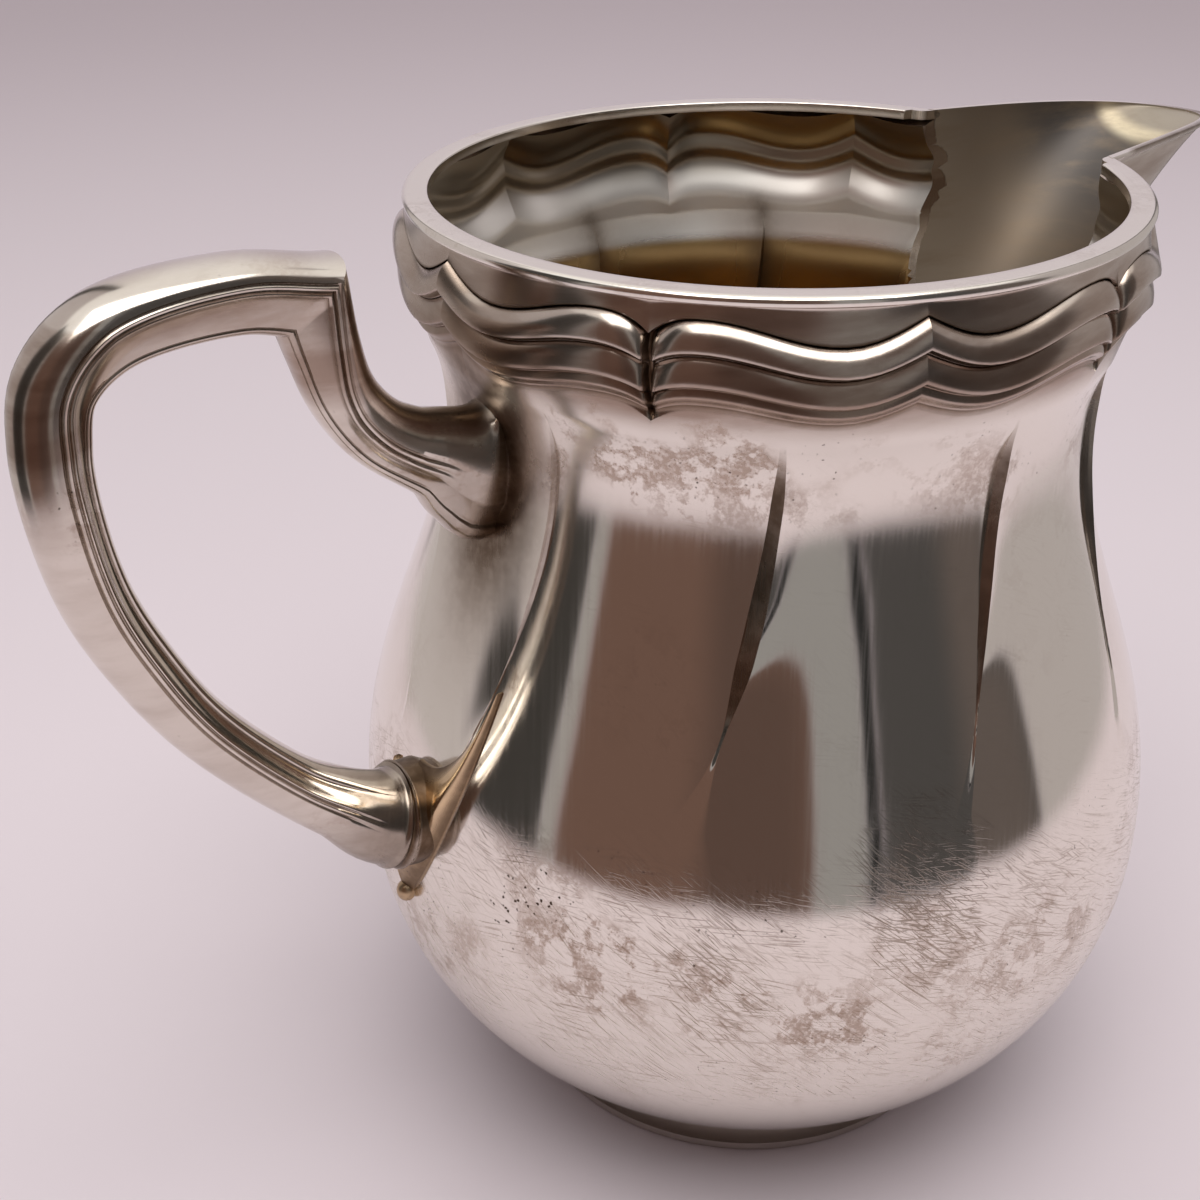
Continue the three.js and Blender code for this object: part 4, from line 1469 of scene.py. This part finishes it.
def new_group(
    name: str, inputs: SocketList, outputs: SocketList
) -> tuple[Graph, bpy.types.Node, bpy.types.Node]:
    """Makes a shader node group.

    Args:
        name: Its name.
        inputs: Name and socket type of each input.
        outputs: Name and socket type of each output.

    Returns:
        Its graph, input node and output node.
    """
    tree = bpy.data.node_groups.new(name, "ShaderNodeTree")
    for direction, sockets in (("INPUT", inputs), ("OUTPUT", outputs)):
        for label, kind in sockets:
            tree.interface.new_socket(label, in_out=direction, socket_type=kind)
    graph = Graph(tree)
    return graph, graph.node("NodeGroupInput"), graph.node("NodeGroupOutput")


FLOAT = "NodeSocketFloat"
VECTOR = "NodeSocketVector"
BROWN = (0.26, 0.175, 0.11)
DARK = (0.06, 0.038, 0.024)


class Effects:
    """Shader node groups that the silver finishes share."""

    def __init__(self) -> None:
        """Builds every group once."""
        self.scratches = self.scratch_group()
        self.tarnish = self.tarnish_group()
        self.pits = self.pit_group()

    @staticmethod
    def scratch_group() -> bpy.types.NodeTree:
        """Builds a group of fine straight scratches, by heading, slope and breaks to the metre.

        Returns:
            The group.
        """
        sockets = [("Vector", VECTOR), ("Amount", FLOAT)]
        graph, given, made = new_group("fine_scratches", sockets, [("Mask", FLOAT)])
        vector, amount = given.outputs[0:2]
        runs = [
            (-122.0, -38.0, 380.0),
            (-112.0, -44.0, 130.0),
            (-124.0, -50.0, 380.0),
            (-120.0, -8.0, 380.0),
            (-126.0, -36.0, 130.0),
            (-60.0, -30.0, 300.0),
            (140.0, 32.0, 300.0),
        ]
        total: object = 0.0
        for number, (heading, slope, breaks) in enumerate(runs):
            lines = graph.noise(graph.drawn(vector, heading, slope, 6500.0, breaks), 1.0, 1.0)
            place = graph.noise(vector, 70.0 + 25.0 * number, 5.0, 0.6)
            spread = graph.math("ADD", place, graph.math("MULTIPLY", amount, 0.1))
            kept = graph.math("MULTIPLY", graph.ramp(lines, 0.6, 0.7), graph.ramp(spread, 0.48, 0.72))
            total = graph.math("MAXIMUM", total, kept)
        graph.feed(made.inputs[0], graph.math("MULTIPLY", total, amount, clamp=True))
        return graph.tree

    @staticmethod
    def tarnish_group() -> bpy.types.NodeTree:
        """Builds a group of tarnish that gathers in hollows and round joints, and of loose flakes.

        Returns:
            The group.
        """
        sockets = [("Vector", VECTOR), ("Hollow", FLOAT), ("Stain", FLOAT), ("Clouds", FLOAT)]
        given_back = [("Mask", FLOAT), ("Depth", FLOAT), ("Cloud", FLOAT)]
        graph, given, made = new_group("tarnish", sockets, given_back)
        vector, hollow, stain, clouds = given.outputs[0:4]
        grain = graph.noise(vector, 600.0, 4.0, 0.6)
        gathered = graph.math("MULTIPLY", hollow, graph.ramp(grain, 0.25, 0.6, 0.88, 1.0))
        ring = graph.math("MULTIPLY", stain, graph.ramp(grain, 0.3, 0.65, 0.88, 1.0))
        graph.feed(made.inputs[0], graph.math("MAXIMUM", gathered, ring, clamp=True))
        deep = graph.math("MAXIMUM", gathered, graph.math("MULTIPLY", ring, stain))
        graph.feed(made.inputs[1], graph.math("MULTIPLY", deep, graph.ramp(grain, 0.3, 0.65, 0.5, 0.7)))
        patch = graph.math("ADD", graph.noise(vector, 85.0, 3.0), graph.math("MULTIPLY", clouds, 0.1))
        flake = graph.noise(vector, 230.0, 10.0, 0.72)
        speck = graph.noise(vector, 1900.0, 4.0, 0.7)
        grained = graph.ramp(speck, 0.36, 0.58, 0.4, 1.0)
        lifted = graph.math("MULTIPLY", graph.ramp(flake, 0.48, 0.53), grained)
        loose = graph.math("MULTIPLY", lifted, graph.ramp(patch, 0.5, 0.66))
        graph.feed(made.inputs[2], graph.math("MULTIPLY", loose, graph.math("MINIMUM", clouds, 0.9)))
        return graph.tree

    @staticmethod
    def pit_group() -> bpy.types.NodeTree:
        """Builds a group of tiny scattered pits.

        Returns:
            The group.
        """
        sockets = [("Vector", VECTOR), ("Amount", FLOAT)]
        graph, given, made = new_group("pits", sockets, [("Mask", FLOAT)])
        vector, amount = given.outputs[0:2]
        cells = graph.node("ShaderNodeTexVoronoi", {"Vector": vector, "Scale": 1700.0})
        torn = graph.ramp(graph.noise(vector, 5000.0), 0.3, 0.7, -0.12, 0.12)
        ragged = graph.math("ADD", cells.outputs[0], torn)
        ragged = graph.math("MULTIPLY_ADD", amount, -0.035, ragged)
        spot = graph.ramp(ragged, 0.17, 0.05)
        apart = graph.node("ShaderNodeSeparateColor", {0: cells.outputs[1]})
        chosen = graph.ramp(apart.outputs[0], 0.55, 0.65)
        spread = graph.math("ADD", graph.noise(vector, 110.0, 5.0, 0.6), graph.math("MULTIPLY", amount, 0.1))
        total = graph.math("MULTIPLY", graph.math("MULTIPLY", spot, chosen), graph.ramp(spread, 0.56, 0.72))
        graph.feed(made.inputs[0], graph.math("MULTIPLY", total, amount, clamp=True))
        return graph.tree


@dataclass(frozen=True)
class Mark:
    """A patch on the right of the body that is more worn than the metal round it.

    Args:
        angle: Its angle in degrees from the handle.
        height: Its height.
        reach: Its radius.
        clouds: Strength of its loose tarnish.
        pits: Strength of its pits.
        scratches: Strength of its scratches.
    """

    angle: float
    height: float
    reach: float
    clouds: float
    pits: float
    scratches: float

    def spot(self, form: BodyForm, axis_x: float) -> Spot:
        """Places the patch on the body.

        Args:
            form: Shape of the body.
            axis_x: Place of the mouth's axis along X, in metres.

        Returns:
            Its middle in the frame, in metres.
        """
        radius = float(form.radius(np.array(self.height)))
        turn = math.radians(self.angle)
        return axis_x - radius * math.cos(turn) * MM, -radius * math.sin(turn) * MM, self.height * MM


@dataclass(frozen=True)
class Zones:
    """Values that say where a point of the surface lies.

    Args:
        place: Place on the object, in metres.
        along: Its X.
        height: Its height.
        belly: 1 on the lower belly.
        neck: 1 on the neck and above it.
        border: 1 on the waved border.
        inside: 1 on the inner face of the body.
        channel: 1 on the inner face of the spout.
        bright: 1 on the bright band inside the neck.
        open: 1 on outer faces, and little on inner ones.
        smudge: Slow level smudges.
    """

    place: Socket
    along: Socket
    height: Socket
    belly: Socket
    neck: Socket
    border: Socket
    inside: Socket
    channel: Socket
    bright: Socket
    open: Socket
    smudge: Socket


@dataclass(frozen=True)
class Silver:
    """A silver finish with tarnish, scratches and pits.

    Args:
        name: Name of the material.
        tone: Colour of the clean metal.
        stain_tone: Colour of thin tarnish.
        deep_tone: Colour of thick tarnish in hollows.
        gloss: Roughness of the clean metal.
        wear: Roughness added where the metal is worn.
        clouds: Strength of loose tarnish.
        scratches: Strength of the scratches.
        pits: Strength of the pits.
        dents: Height of the slow unevenness, in millimetres.
        patina: Strength of the smudged patina all over.
        effects: Shared node groups.
        marks: Middle of each patch of stronger wear, in metres, and the patch.
        foot_shade: Strength of the painted shade that darkens the tone towards the floor.
    """

    name: str
    tone: Colour
    stain_tone: Colour
    deep_tone: Colour
    gloss: float
    wear: float
    clouds: float
    scratches: float
    pits: float
    dents: float
    patina: float
    effects: Effects
    marks: tuple[tuple[Spot, Mark], ...] = ()
    foot_shade: float = 0.0

    def apply(self, *pieces: bpy.types.Object) -> None:
        """Gives the finish to pieces."""
        material = self.material()
        for made in pieces:
            made.data.materials.clear()
            made.data.materials.append(material)

    def material(self) -> bpy.types.Material:
        """Builds the material.

        Returns:
            The node material.
        """
        material = bpy.data.materials.new(self.name)
        material.use_nodes = True
        graph = Graph(material.node_tree)
        material.node_tree.nodes.clear()
        masks = {
            mask: graph.node("ShaderNodeAttribute", attribute_name=mask.value).outputs["Fac"] for mask in Mask
        }
        zones = self.zones(graph, masks)
        clouds, pitted, struck = self.strengths(graph, zones)
        groups = (
            (self.effects.tarnish, (zones.place, masks[Mask.HOLLOW], masks[Mask.STAIN], clouds)),
            (self.effects.scratches, (zones.place, struck)),
            (self.effects.pits, (zones.place, pitted)),
        )
        tarnish, scratch, pits = (graph.placed(tree, values) for tree, values in groups)
        colour = self.worn_colour(graph, self.clean_colour(graph, zones), tarnish, scratch[0], pits[0])
        uneven = graph.math("MULTIPLY", graph.noise(zones.place, 75.0, 2.0), self.dents)
        relief = graph.math("ADD", uneven, graph.math("MULTIPLY", scratch[0], -0.003))
        bump = graph.node("ShaderNodeBump", {"Height": relief, "Strength": 1.0, "Distance": MM})
        shader = graph.node(
            "ShaderNodeBsdfPrincipled",
            {
                "Base Color": colour,
                "Roughness": self.roughness(graph, zones, tarnish, scratch[0]),
                "Metallic": self.metal(graph, zones),
                "Normal": bump.outputs[0],
            },
        )
        graph.node("ShaderNodeOutputMaterial", {"Surface": shader.outputs[0]})
        return material

    @staticmethod
    def metal(graph: Graph, zones: Zones) -> Socket:
        """Returns the share of bare metal, which is less where the linings are frosted or dull."""
        dull = graph.math("MULTIPLY_ADD", zones.channel, 0.4, graph.math("MULTIPLY", zones.bright, 0.28))
        return graph.math("SUBTRACT", 1.0, dull, clamp=True)

    @staticmethod
    def zones(graph: Graph, masks: Mapping[Mask, Socket]) -> Zones:
        """Works out the zones of the surface from its place and masks.

        Args:
            graph: Graph of the material.
            masks: Sockets of the masks.

        Returns:
            The zones.
        """
        place = graph.node("ShaderNodeTexCoord").outputs["Object"]
        apart = graph.node("ShaderNodeSeparateXYZ", {0: place})
        height = apart.outputs["Z"]
        belly = graph.math("MULTIPLY", graph.ramp(height, 0.056, 0.045), graph.ramp(height, 0.016, 0.03))
        border = graph.math("MULTIPLY", graph.ramp(height, 0.0905, 0.094), graph.ramp(height, 0.1033, 0.1028))
        bright = graph.math("MULTIPLY", graph.ramp(height, 0.088, 0.0895), graph.ramp(height, 0.0965, 0.0925))
        hidden = graph.math("MAXIMUM", masks[Mask.INSIDE], masks[Mask.CHANNEL])
        return Zones(
            place=place,
            along=apart.outputs["X"],
            height=height,
            belly=belly,
            neck=graph.ramp(height, 0.077, 0.087),
            border=border,
            inside=masks[Mask.INSIDE],
            channel=masks[Mask.CHANNEL],
            bright=graph.math("MULTIPLY", bright, masks[Mask.INSIDE]),
            open=graph.ramp(hidden, 0.0, 1.0, 1.0, 0.1),
            smudge=graph.noise(graph.drawn(place, -122.0, 6.0, 380.0, 90.0), 1.0, 6.0, 0.6),
        )

    def strengths(self, graph: Graph, zones: Zones) -> tuple[Socket, ...]:
        """Works out how worn each part of the surface is.

        Args:
            graph: Graph of the material.
            zones: Zones of the surface.

        Returns:
            Strength of loose tarnish, pits and scratches.
        """
        soiled = graph.math("MULTIPLY", zones.neck, graph.ramp(zones.height, 0.0925, 0.0905, 0.3, 1.0))
        soiled = graph.ramp(graph.math("MAXIMUM", zones.belly, soiled), 0.0, 1.0, 0.2, 1.0)
        clouds = graph.math("MULTIPLY", soiled, self.clouds)
        pitted = graph.math("MULTIPLY", soiled, self.pits)
        struck = graph.math("MULTIPLY", graph.ramp(zones.belly, 0.0, 1.0, 0.12, 1.0), self.scratches)
        made = [clouds, pitted, struck]
        noise = {"Vector": zones.place, "Scale": 130.0, "Detail": 4.0}
        swirl = graph.node("ShaderNodeTexNoise", noise).outputs[1]
        swirl = graph.vector("SUBTRACT", swirl, (0.5, 0.5, 0.5))
        ragged = graph.vector("MULTIPLY_ADD", swirl, (0.016,) * 3, zones.place)
        for middle, mark in self.marks:
            away = graph.vector("DISTANCE", ragged, middle)
            near = graph.ramp(away, mark.reach * MM, 0.1 * mark.reach * MM)
            for number, strength in enumerate((mark.clouds, mark.pits, mark.scratches)):
                local = graph.math("MULTIPLY", near, strength)
                made[number] = graph.math("MAXIMUM", made[number], local)
        return tuple(graph.math("MULTIPLY", strength, zones.open) for strength in made)

    def clean_colour(self, graph: Graph, zones: Zones) -> Socket:
        """Builds the colour before wear: patina on the border, painted shade at the foot, and the linings
        with painted shade and a painted highlight.

        Args:
            graph: Graph of the material.
            zones: Zones of the surface.

        Returns:
            The colour.
        """
        smudged = graph.ramp(zones.smudge, 0.3, 0.7, 0.5, 0.92)
        patina = graph.math("ADD", smudged, graph.ramp(zones.height, 0.1, 0.095, 0.0, 0.3))
        patina = graph.math("MULTIPLY", zones.border, patina, clamp=True)
        all_over = graph.ramp(zones.smudge, 0.35, 0.7, 0.4 * self.patina, self.patina)
        patina = graph.math("MAXIMUM", patina, all_over)
        colour = graph.blend(patina, self.tone, (0.37, 0.285, 0.23))
        # Painted shade: the tone darkens towards the floor, for the shadowed floor that the bottom reflects.
        foot_shade = graph.ramp(zones.height, 0.022, 0.008, 0.0, self.foot_shade)
        colour = graph.blend(foot_shade, colour, (0.3, 0.26, 0.235))
        lining: object = (0.97, 0.94, 0.89)
        # The band just under the rim inside is darker: tarnish and a painted dark reflection of the inner
        # wall.
        for low, high, tone in ((0.0945, 0.0975, (0.4, 0.345, 0.27)), (0.0888, 0.0878, (0.55, 0.39, 0.19))):
            lining = graph.blend(graph.ramp(zones.height, low, high), lining, tone)
        channel: object = (0.37, 0.31, 0.24)
        # Along the spout's channel: the darker bands are painted shade, and the gold band near the tip is a
        # painted highlight.
        bands = (
            (0.036, 0.046, (0.25, 0.2, 0.15)),
            (0.047, 0.055, (0.11, 0.098, 0.09)),
            (0.0586, 0.0602, (0.86, 0.76, 0.55)),
            (0.0604, 0.062, (0.42, 0.37, 0.3)),
        )
        for low, high, tone in bands:
            channel = graph.blend(graph.ramp(zones.along, low, high), channel, tone)
        channel = graph.blend(graph.ramp(zones.smudge, 0.42, 0.68, 0.0, 0.6), channel, (0.26, 0.2, 0.14))
        colour = graph.blend(zones.inside, colour, lining)
        return graph.blend(zones.channel, colour, channel)

    def worn_colour(
        self,
        graph: Graph,
        clean: Socket,
        tarnish: Sequence[Socket],
        scratch: Socket,
        pits: Socket,
    ) -> Socket:
        """Lays tarnish, scratches and pits on the clean colour.

        Args:
            graph: Graph of the material.
            clean: Colour before wear.
            tarnish: Thin tarnish, thick tarnish and loose flakes.
            scratch: Mask of the scratches.
            pits: Mask of the pits.

        Returns:
            The worn colour.
        """
        colour = graph.blend(tarnish[2], clean, (0.47, 0.37, 0.3))
        colour = graph.blend(tarnish[0], colour, self.stain_tone)
        colour = graph.blend(tarnish[1], colour, self.deep_tone)
        colour = graph.blend(graph.math("MULTIPLY", scratch, 0.6), colour, self.stain_tone)
        return graph.blend(pits, colour, self.deep_tone)

    def roughness(
        self, graph: Graph, zones: Zones, tarnish: Sequence[Socket], scratch: Socket
    ) -> Socket:
        """Adds up the roughness: gloss, and what tarnish, scratches, wear and the linings add.

        Args:
            graph: Graph of the material.
            zones: Zones of the surface.
            tarnish: Thin tarnish, thick tarnish and loose flakes.
            scratch: Mask of the scratches.

        Returns:
            The roughness.
        """
        necked = graph.math("MULTIPLY", zones.neck, 0.7)
        worn = graph.math("MAXIMUM", graph.ramp(zones.height, 0.05, 0.036), necked)
        worn = graph.math("MULTIPLY", worn, zones.open)
        brushed = graph.noise(graph.drawn(zones.place, -122.0, 88.0, 3200.0, 60.0), 1.0, 2.0)
        flank = graph.math("MULTIPLY", zones.open, graph.ramp(zones.height, 0.086, 0.078))
        added = (
            (tarnish[0], 0.22),
            (tarnish[2], 0.15),
            (scratch, 0.18),
            (zones.inside, 0.17),
            (zones.channel, 0.36),
            (zones.bright, 0.04),
            (graph.math("MULTIPLY", zones.border, zones.smudge), 0.1),
            (graph.math("MULTIPLY", graph.ramp(brushed, 0.4, 0.65), flank), 0.035),
            (worn, self.wear),
        )
        rough: object = self.gloss
        for value, share in added:
            rough = graph.math("MULTIPLY_ADD", value, share, rough)
        return graph.math("MINIMUM", rough, 0.9)


@dataclass(frozen=True)
class Card:
    """A plain studio card that the silver reflects, by its place round the jug.

    Args:
        left: Left edge in degrees from the camera's side.
        right: Right edge.
        low: Lower edge in degrees above the horizon.
        high: Upper edge.
        soft: Width of its soft edges in degrees.
        tone: Its colour.
    """

    left: float
    right: float
    low: float
    high: float
    soft: float
    tone: Colour


@dataclass
class Studio:
    """Pale floor, soft light and the camera.

    Args:
        axis_x: Place of the mouth's axis along X, in metres.
        heading: Direction across the floor in which the camera looks.
        camera_spot: Place of the camera about the mouth's axis, in millimetres.
        camera_tilt: How far the camera looks down, in degrees.
        camera_roll: Its roll in degrees.
        lens: Its focal length in millimetres.
        sensor: Width of its sensor in millimetres.
        floor_near: Distance in metres up to which the silver sees the pale floor.
        floor_reach: Half of the floor's width in metres.
        floor_tone: Colour of the floor round the jug.
        far_tone: Colour of the floor far off and of the surround.
        ceiling_tone: Colour of the surround overhead.
        lamp_spot: Place of the lamp, in metres.
        lamp_aim: Point that the lamp looks at, in metres.
        lamp_size: Length and width of the lamp, in metres.
        lamp_power: Its power in watts.
        lamp_tone: Its colour.
        cards: Cards round the jug.
    """

    axis_x: float
    heading: tuple[float, float] = (0.5385, 0.8426)
    camera_spot: Spot = (-97.8, -121.4, 144.5)
    camera_tilt: float = 29.4
    camera_roll: float = 0.4425
    lens: float = 48.0
    sensor: float = 36.0
    floor_near: float = 0.19
    floor_reach: float = 6.0
    floor_tone: Colour = (0.75, 0.685, 0.735)
    far_tone: Colour = (0.6, 0.53, 0.575)
    ceiling_tone: Colour = (1.0, 0.97, 0.95)
    lamp_spot: Spot = (-0.12, -0.2, 0.75)
    lamp_aim: Spot = (0.0, 0.0, 0.08)
    lamp_size: tuple[float, float] = (0.7, 0.5)
    lamp_power: float = 3.0
    lamp_tone: Colour = (1.0, 0.97, 0.94)
    cards: tuple[Card, ...] = (
        Card(-150.0, -95.0, -30.0, 48.0, 4.0, (0.55, 0.5, 0.495)),
        Card(-152.0, -147.0, -30.0, 50.0, 3.0, (0.06, 0.055, 0.05)),
        Card(-95.0, -62.0, -30.0, 51.0, 3.0, (0.05, 0.046, 0.043)),
        Card(-62.0, -57.0, -30.0, 49.0, 2.0, (0.36, 0.34, 0.33)),
        Card(-57.0, 13.0, -30.0, 50.0, 4.0, (0.155, 0.092, 0.072)),
        Card(-18.0, 12.0, -30.0, 49.0, 16.0, (0.105, 0.066, 0.054)),
        Card(13.0, 27.0, -30.0, 49.0, 3.0, (0.3, 0.29, 0.285)),
        Card(27.0, 31.0, -30.0, 51.0, 1.5, (0.02, 0.02, 0.02)),
        Card(31.0, 80.0, -30.0, 51.0, 4.0, (0.072, 0.067, 0.066)),
        Card(58.0, 79.0, -30.0, 50.0, 14.0, (0.12, 0.098, 0.09)),
        Card(80.0, 150.0, -30.0, 48.0, 4.0, (0.46, 0.42, 0.415)),
        Card(148.0, 153.0, -30.0, 50.0, 3.0, (0.06, 0.055, 0.05)),
    )

    def build(self) -> None:
        """Builds the camera, the floor, the world and the lamp."""
        self.camera()
        self.floor()
        self.world()
        self.lamp()
        bpy.context.scene.view_settings.view_transform = "Standard"

    def camera(self) -> None:
        """Places the camera at the angle of the photograph."""
        ahead = Vector((*self.heading, 0.0)).normalized()
        right = Vector((ahead.y, -ahead.x, 0.0))
        tilt, roll = math.radians(self.camera_tilt), math.radians(self.camera_roll)
        forward = math.cos(tilt) * ahead - math.sin(tilt) * Vector((0.0, 0.0, 1.0))
        up = math.sin(tilt) * ahead + math.cos(tilt) * Vector((0.0, 0.0, 1.0))
        side = math.cos(roll) * right - math.sin(roll) * up
        crown = math.sin(roll) * right + math.cos(roll) * up
        data = bpy.data.cameras.new("camera")
        data.lens, data.sensor_width = self.lens, self.sensor
        data.clip_start = 0.01
        made = bpy.data.objects.new("camera", data)
        turn = Matrix((side, crown, -forward)).transposed()
        spot = Vector(self.camera_spot) * MM + Vector((self.axis_x, 0.0, 0.0))
        made.matrix_world = Matrix.Translation(spot) @ turn.to_4x4()
        bpy.context.scene.collection.objects.link(made)
        bpy.context.scene.camera = made

    def floor(self) -> None:
        """Lays the pale floor, which the silver sees only near the jug."""
        mesh = bpy.data.meshes.new("floor")
        wide = self.floor_reach
        corners = [(-wide, -wide, 0), (wide, -wide, 0), (wide, wide, 0), (-wide, wide, 0)]
        mesh.from_pydata(corners, [], [(0, 1, 2, 3)])
        made = bpy.data.objects.new("floor", mesh)
        bpy.context.scene.collection.objects.link(made)
        material = bpy.data.materials.new("floor_paper")
        material.use_nodes = True
        graph = Graph(material.node_tree)
        material.node_tree.nodes.clear()
        place = graph.node("ShaderNodeTexCoord").outputs["Object"]
        away = graph.vector("LENGTH", place)
        # Painted light falloff: the floor's colour darkens from round the jug outwards.
        tone = graph.blend(graph.ramp(away, 0.12, 0.85), self.floor_tone, self.far_tone)
        paper = graph.node("ShaderNodeBsdfDiffuse", {"Color": tone})
        clear = graph.node("ShaderNodeBsdfTransparent")
        glossy = graph.node("ShaderNodeLightPath").outputs["Is Glossy Ray"]
        ends = graph.math("MULTIPLY", glossy, graph.ramp(away, self.floor_near, self.floor_near * 1.4))
        mixed = graph.node("ShaderNodeMixShader", {0: ends, 1: paper.outputs[0], 2: clear.outputs[0]})
        graph.node("ShaderNodeOutputMaterial", {"Surface": mixed.outputs[0]})
        mesh.materials.append(material)

    def world(self) -> None:
        """Sets the soft surround and the cards that the silver reflects."""
        world = bpy.data.worlds.new("studio")
        bpy.context.scene.world = world
        world.use_nodes = True
        graph = Graph(world.node_tree)
        world.node_tree.nodes.clear()
        way = graph.node("ShaderNodeTexCoord").outputs["Generated"]
        ahead = Vector((*self.heading, 0.0)).normalized()

        def along(direction: Spot) -> Socket:
            """Returns the way's share along a direction."""
            return graph.vector("DOT_PRODUCT", way, direction)

        towards = along((-ahead.x, -ahead.y, 0.0))
        right = along((ahead.y, -ahead.x, 0.0))
        up = along((0.0, 0.0, 1.0))
        turn = graph.math("DEGREES", graph.math("ARCTAN2", right, towards))
        rise = graph.math("DEGREES", graph.math("ARCSINE", up))
        tone = graph.blend(graph.ramp(rise, 0.0, 60.0), self.far_tone, self.ceiling_tone)
        for card in self.cards:
            share: object = 1.0
            edges = ((turn, card.left, 1), (turn, card.right, -1), (rise, card.low, 1), (rise, card.high, -1))
            for value, edge, side in edges:
                half = side * card.soft / 2
                share = graph.math("MULTIPLY", share, graph.ramp(value, edge - half, edge + half))
            tone = graph.blend(share, tone, card.tone)
        seen = graph.node("ShaderNodeLightPath").outputs["Is Camera Ray"]
        tone = graph.blend(seen, tone, self.far_tone)
        back = graph.node("ShaderNodeBackground", {"Color": tone, "Strength": 1.0})
        graph.node("ShaderNodeOutputWorld", {"Surface": back.outputs[0]})

    def lamp(self) -> None:
        """Hangs one large soft lamp over the jug."""
        data = bpy.data.lights.new("overhead", "AREA")
        data.shape = "RECTANGLE"
        data.size, data.size_y = self.lamp_size
        data.energy = self.lamp_power
        data.color = self.lamp_tone
        made = bpy.data.objects.new("overhead", data)
        spot = Vector(self.lamp_spot)
        made.location = spot
        made.rotation_mode = "QUATERNION"
        made.rotation_quaternion = (Vector(self.lamp_aim) - spot).to_track_quat("-Z", "Y")
        bpy.context.scene.collection.objects.link(made)


MARKS = (
    Mark(23.0, 44.0, 5.5, 0.2, 4.5, 0.3),
    Mark(33.0, 40.0, 10.0, 1.5, 1.0, 0.9),
    Mark(62.0, 36.0, 7.0, 1.9, 1.0, 0.7),
    Mark(35.0, 89.0, 8.0, 1.6, 0.6, 0.0),
    Mark(48.0, 89.0, 8.0, 1.5, 0.6, 0.0),
    Mark(75.0, 47.0, 14.0, 0.5, 1.2, 1.7),
    Mark(47.0, 39.0, 15.0, 0.9, 1.0, 1.4),
    Mark(63.0, 87.0, 9.0, 0.8, 1.7, 0.1),
    Mark(28.0, 31.0, 12.0, 1.1, 0.8, 1.2),
    Mark(92.0, 42.0, 12.0, 0.6, 1.0, 0.9),
    Mark(11.0, 66.0, 5.0, 1.3, 0.5, 0.0),
)


def finishes(form: BodyForm, axis_x: float) -> dict[Slot, Silver]:
    """Lists the finish of each material slot.

    Args:
        form: Shape of the body, which the marks lie on.
        axis_x: Place of the mouth's axis along X, in metres.

    Returns:
        The finishes by slot.
    """
    effects = Effects()
    placed = tuple((mark.spot(form, axis_x), mark) for mark in MARKS)
    rows = (
        (Slot.POLISHED, (0.86, 0.81, 0.74), (0.07, 0.13, 0.6, 0.8, 0.9, 0.04, 0.0), placed, 0.82),
        # The foot's finish: its darker tone is painted shade for the foot in shadow.
        (Slot.WORN, (0.68, 0.63, 0.58), (0.28, 0.1, 0.5, 0.4, 0.6, 0.05, 0.0), (), 0.3),
        (Slot.HANDLE, (0.82, 0.765, 0.69), (0.1, 0.06, 0.6, 0.3, 0.9, 0.02, 0.4), (), 0.0),
        (Slot.TARNISHED, (0.82, 0.61, 0.37), (0.16, 0.1, 0.7, 0.4, 0.8, 0.03, 0.3), (), 0.0),
    )
    return {
        slot: Silver(slot.value, tone, BROWN, DARK, *values, effects, marks, foot_shade)
        for slot, tone, values, marks, foot_shade in rows
    }


def main() -> None:
    """Builds the studio, then every sub-assembly in order, and dresses them."""
    logging.basicConfig(level=logging.INFO, format="%(name)s %(message)s")
    low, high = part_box("foot_ring")
    axis_x = (low.x + high.x) / 2
    bench = Workbench(axis_x)
    Studio(axis_x).build()
    form = BodyForm()
    spout = Spout()
    opening = bench.make("spout_opening", spout.fill(spout.sheet, spout.headroom, spout.bell))
    envelope = bench.make("body_envelope", form.envelope(-0.3))
    close = bench.make("body_envelope_close", form.envelope(-0.1, spout.crown))
    shells, rim, handle = BodyShells(form), RimWire(), Handle(form)
    seat, foot = HandleSeat(form), FootAndBase(form)
    shells.build(bench, opening)
    rim.build(bench, opening)
    spout.build(bench, close)
    handle.build(bench, envelope)
    seat.build(bench)
    foot.build(bench)
    bench.discard(opening, envelope, close)
    silver = finishes(form, axis_x)
    for assembly in (shells, rim, spout):
        assembly.dress(silver[Slot.POLISHED])
    handle.dress(silver[Slot.HANDLE])
    seat.dress(silver[Slot.TARNISHED])
    foot.dress(silver[Slot.WORN])


if __name__ == "__main__":
    main()
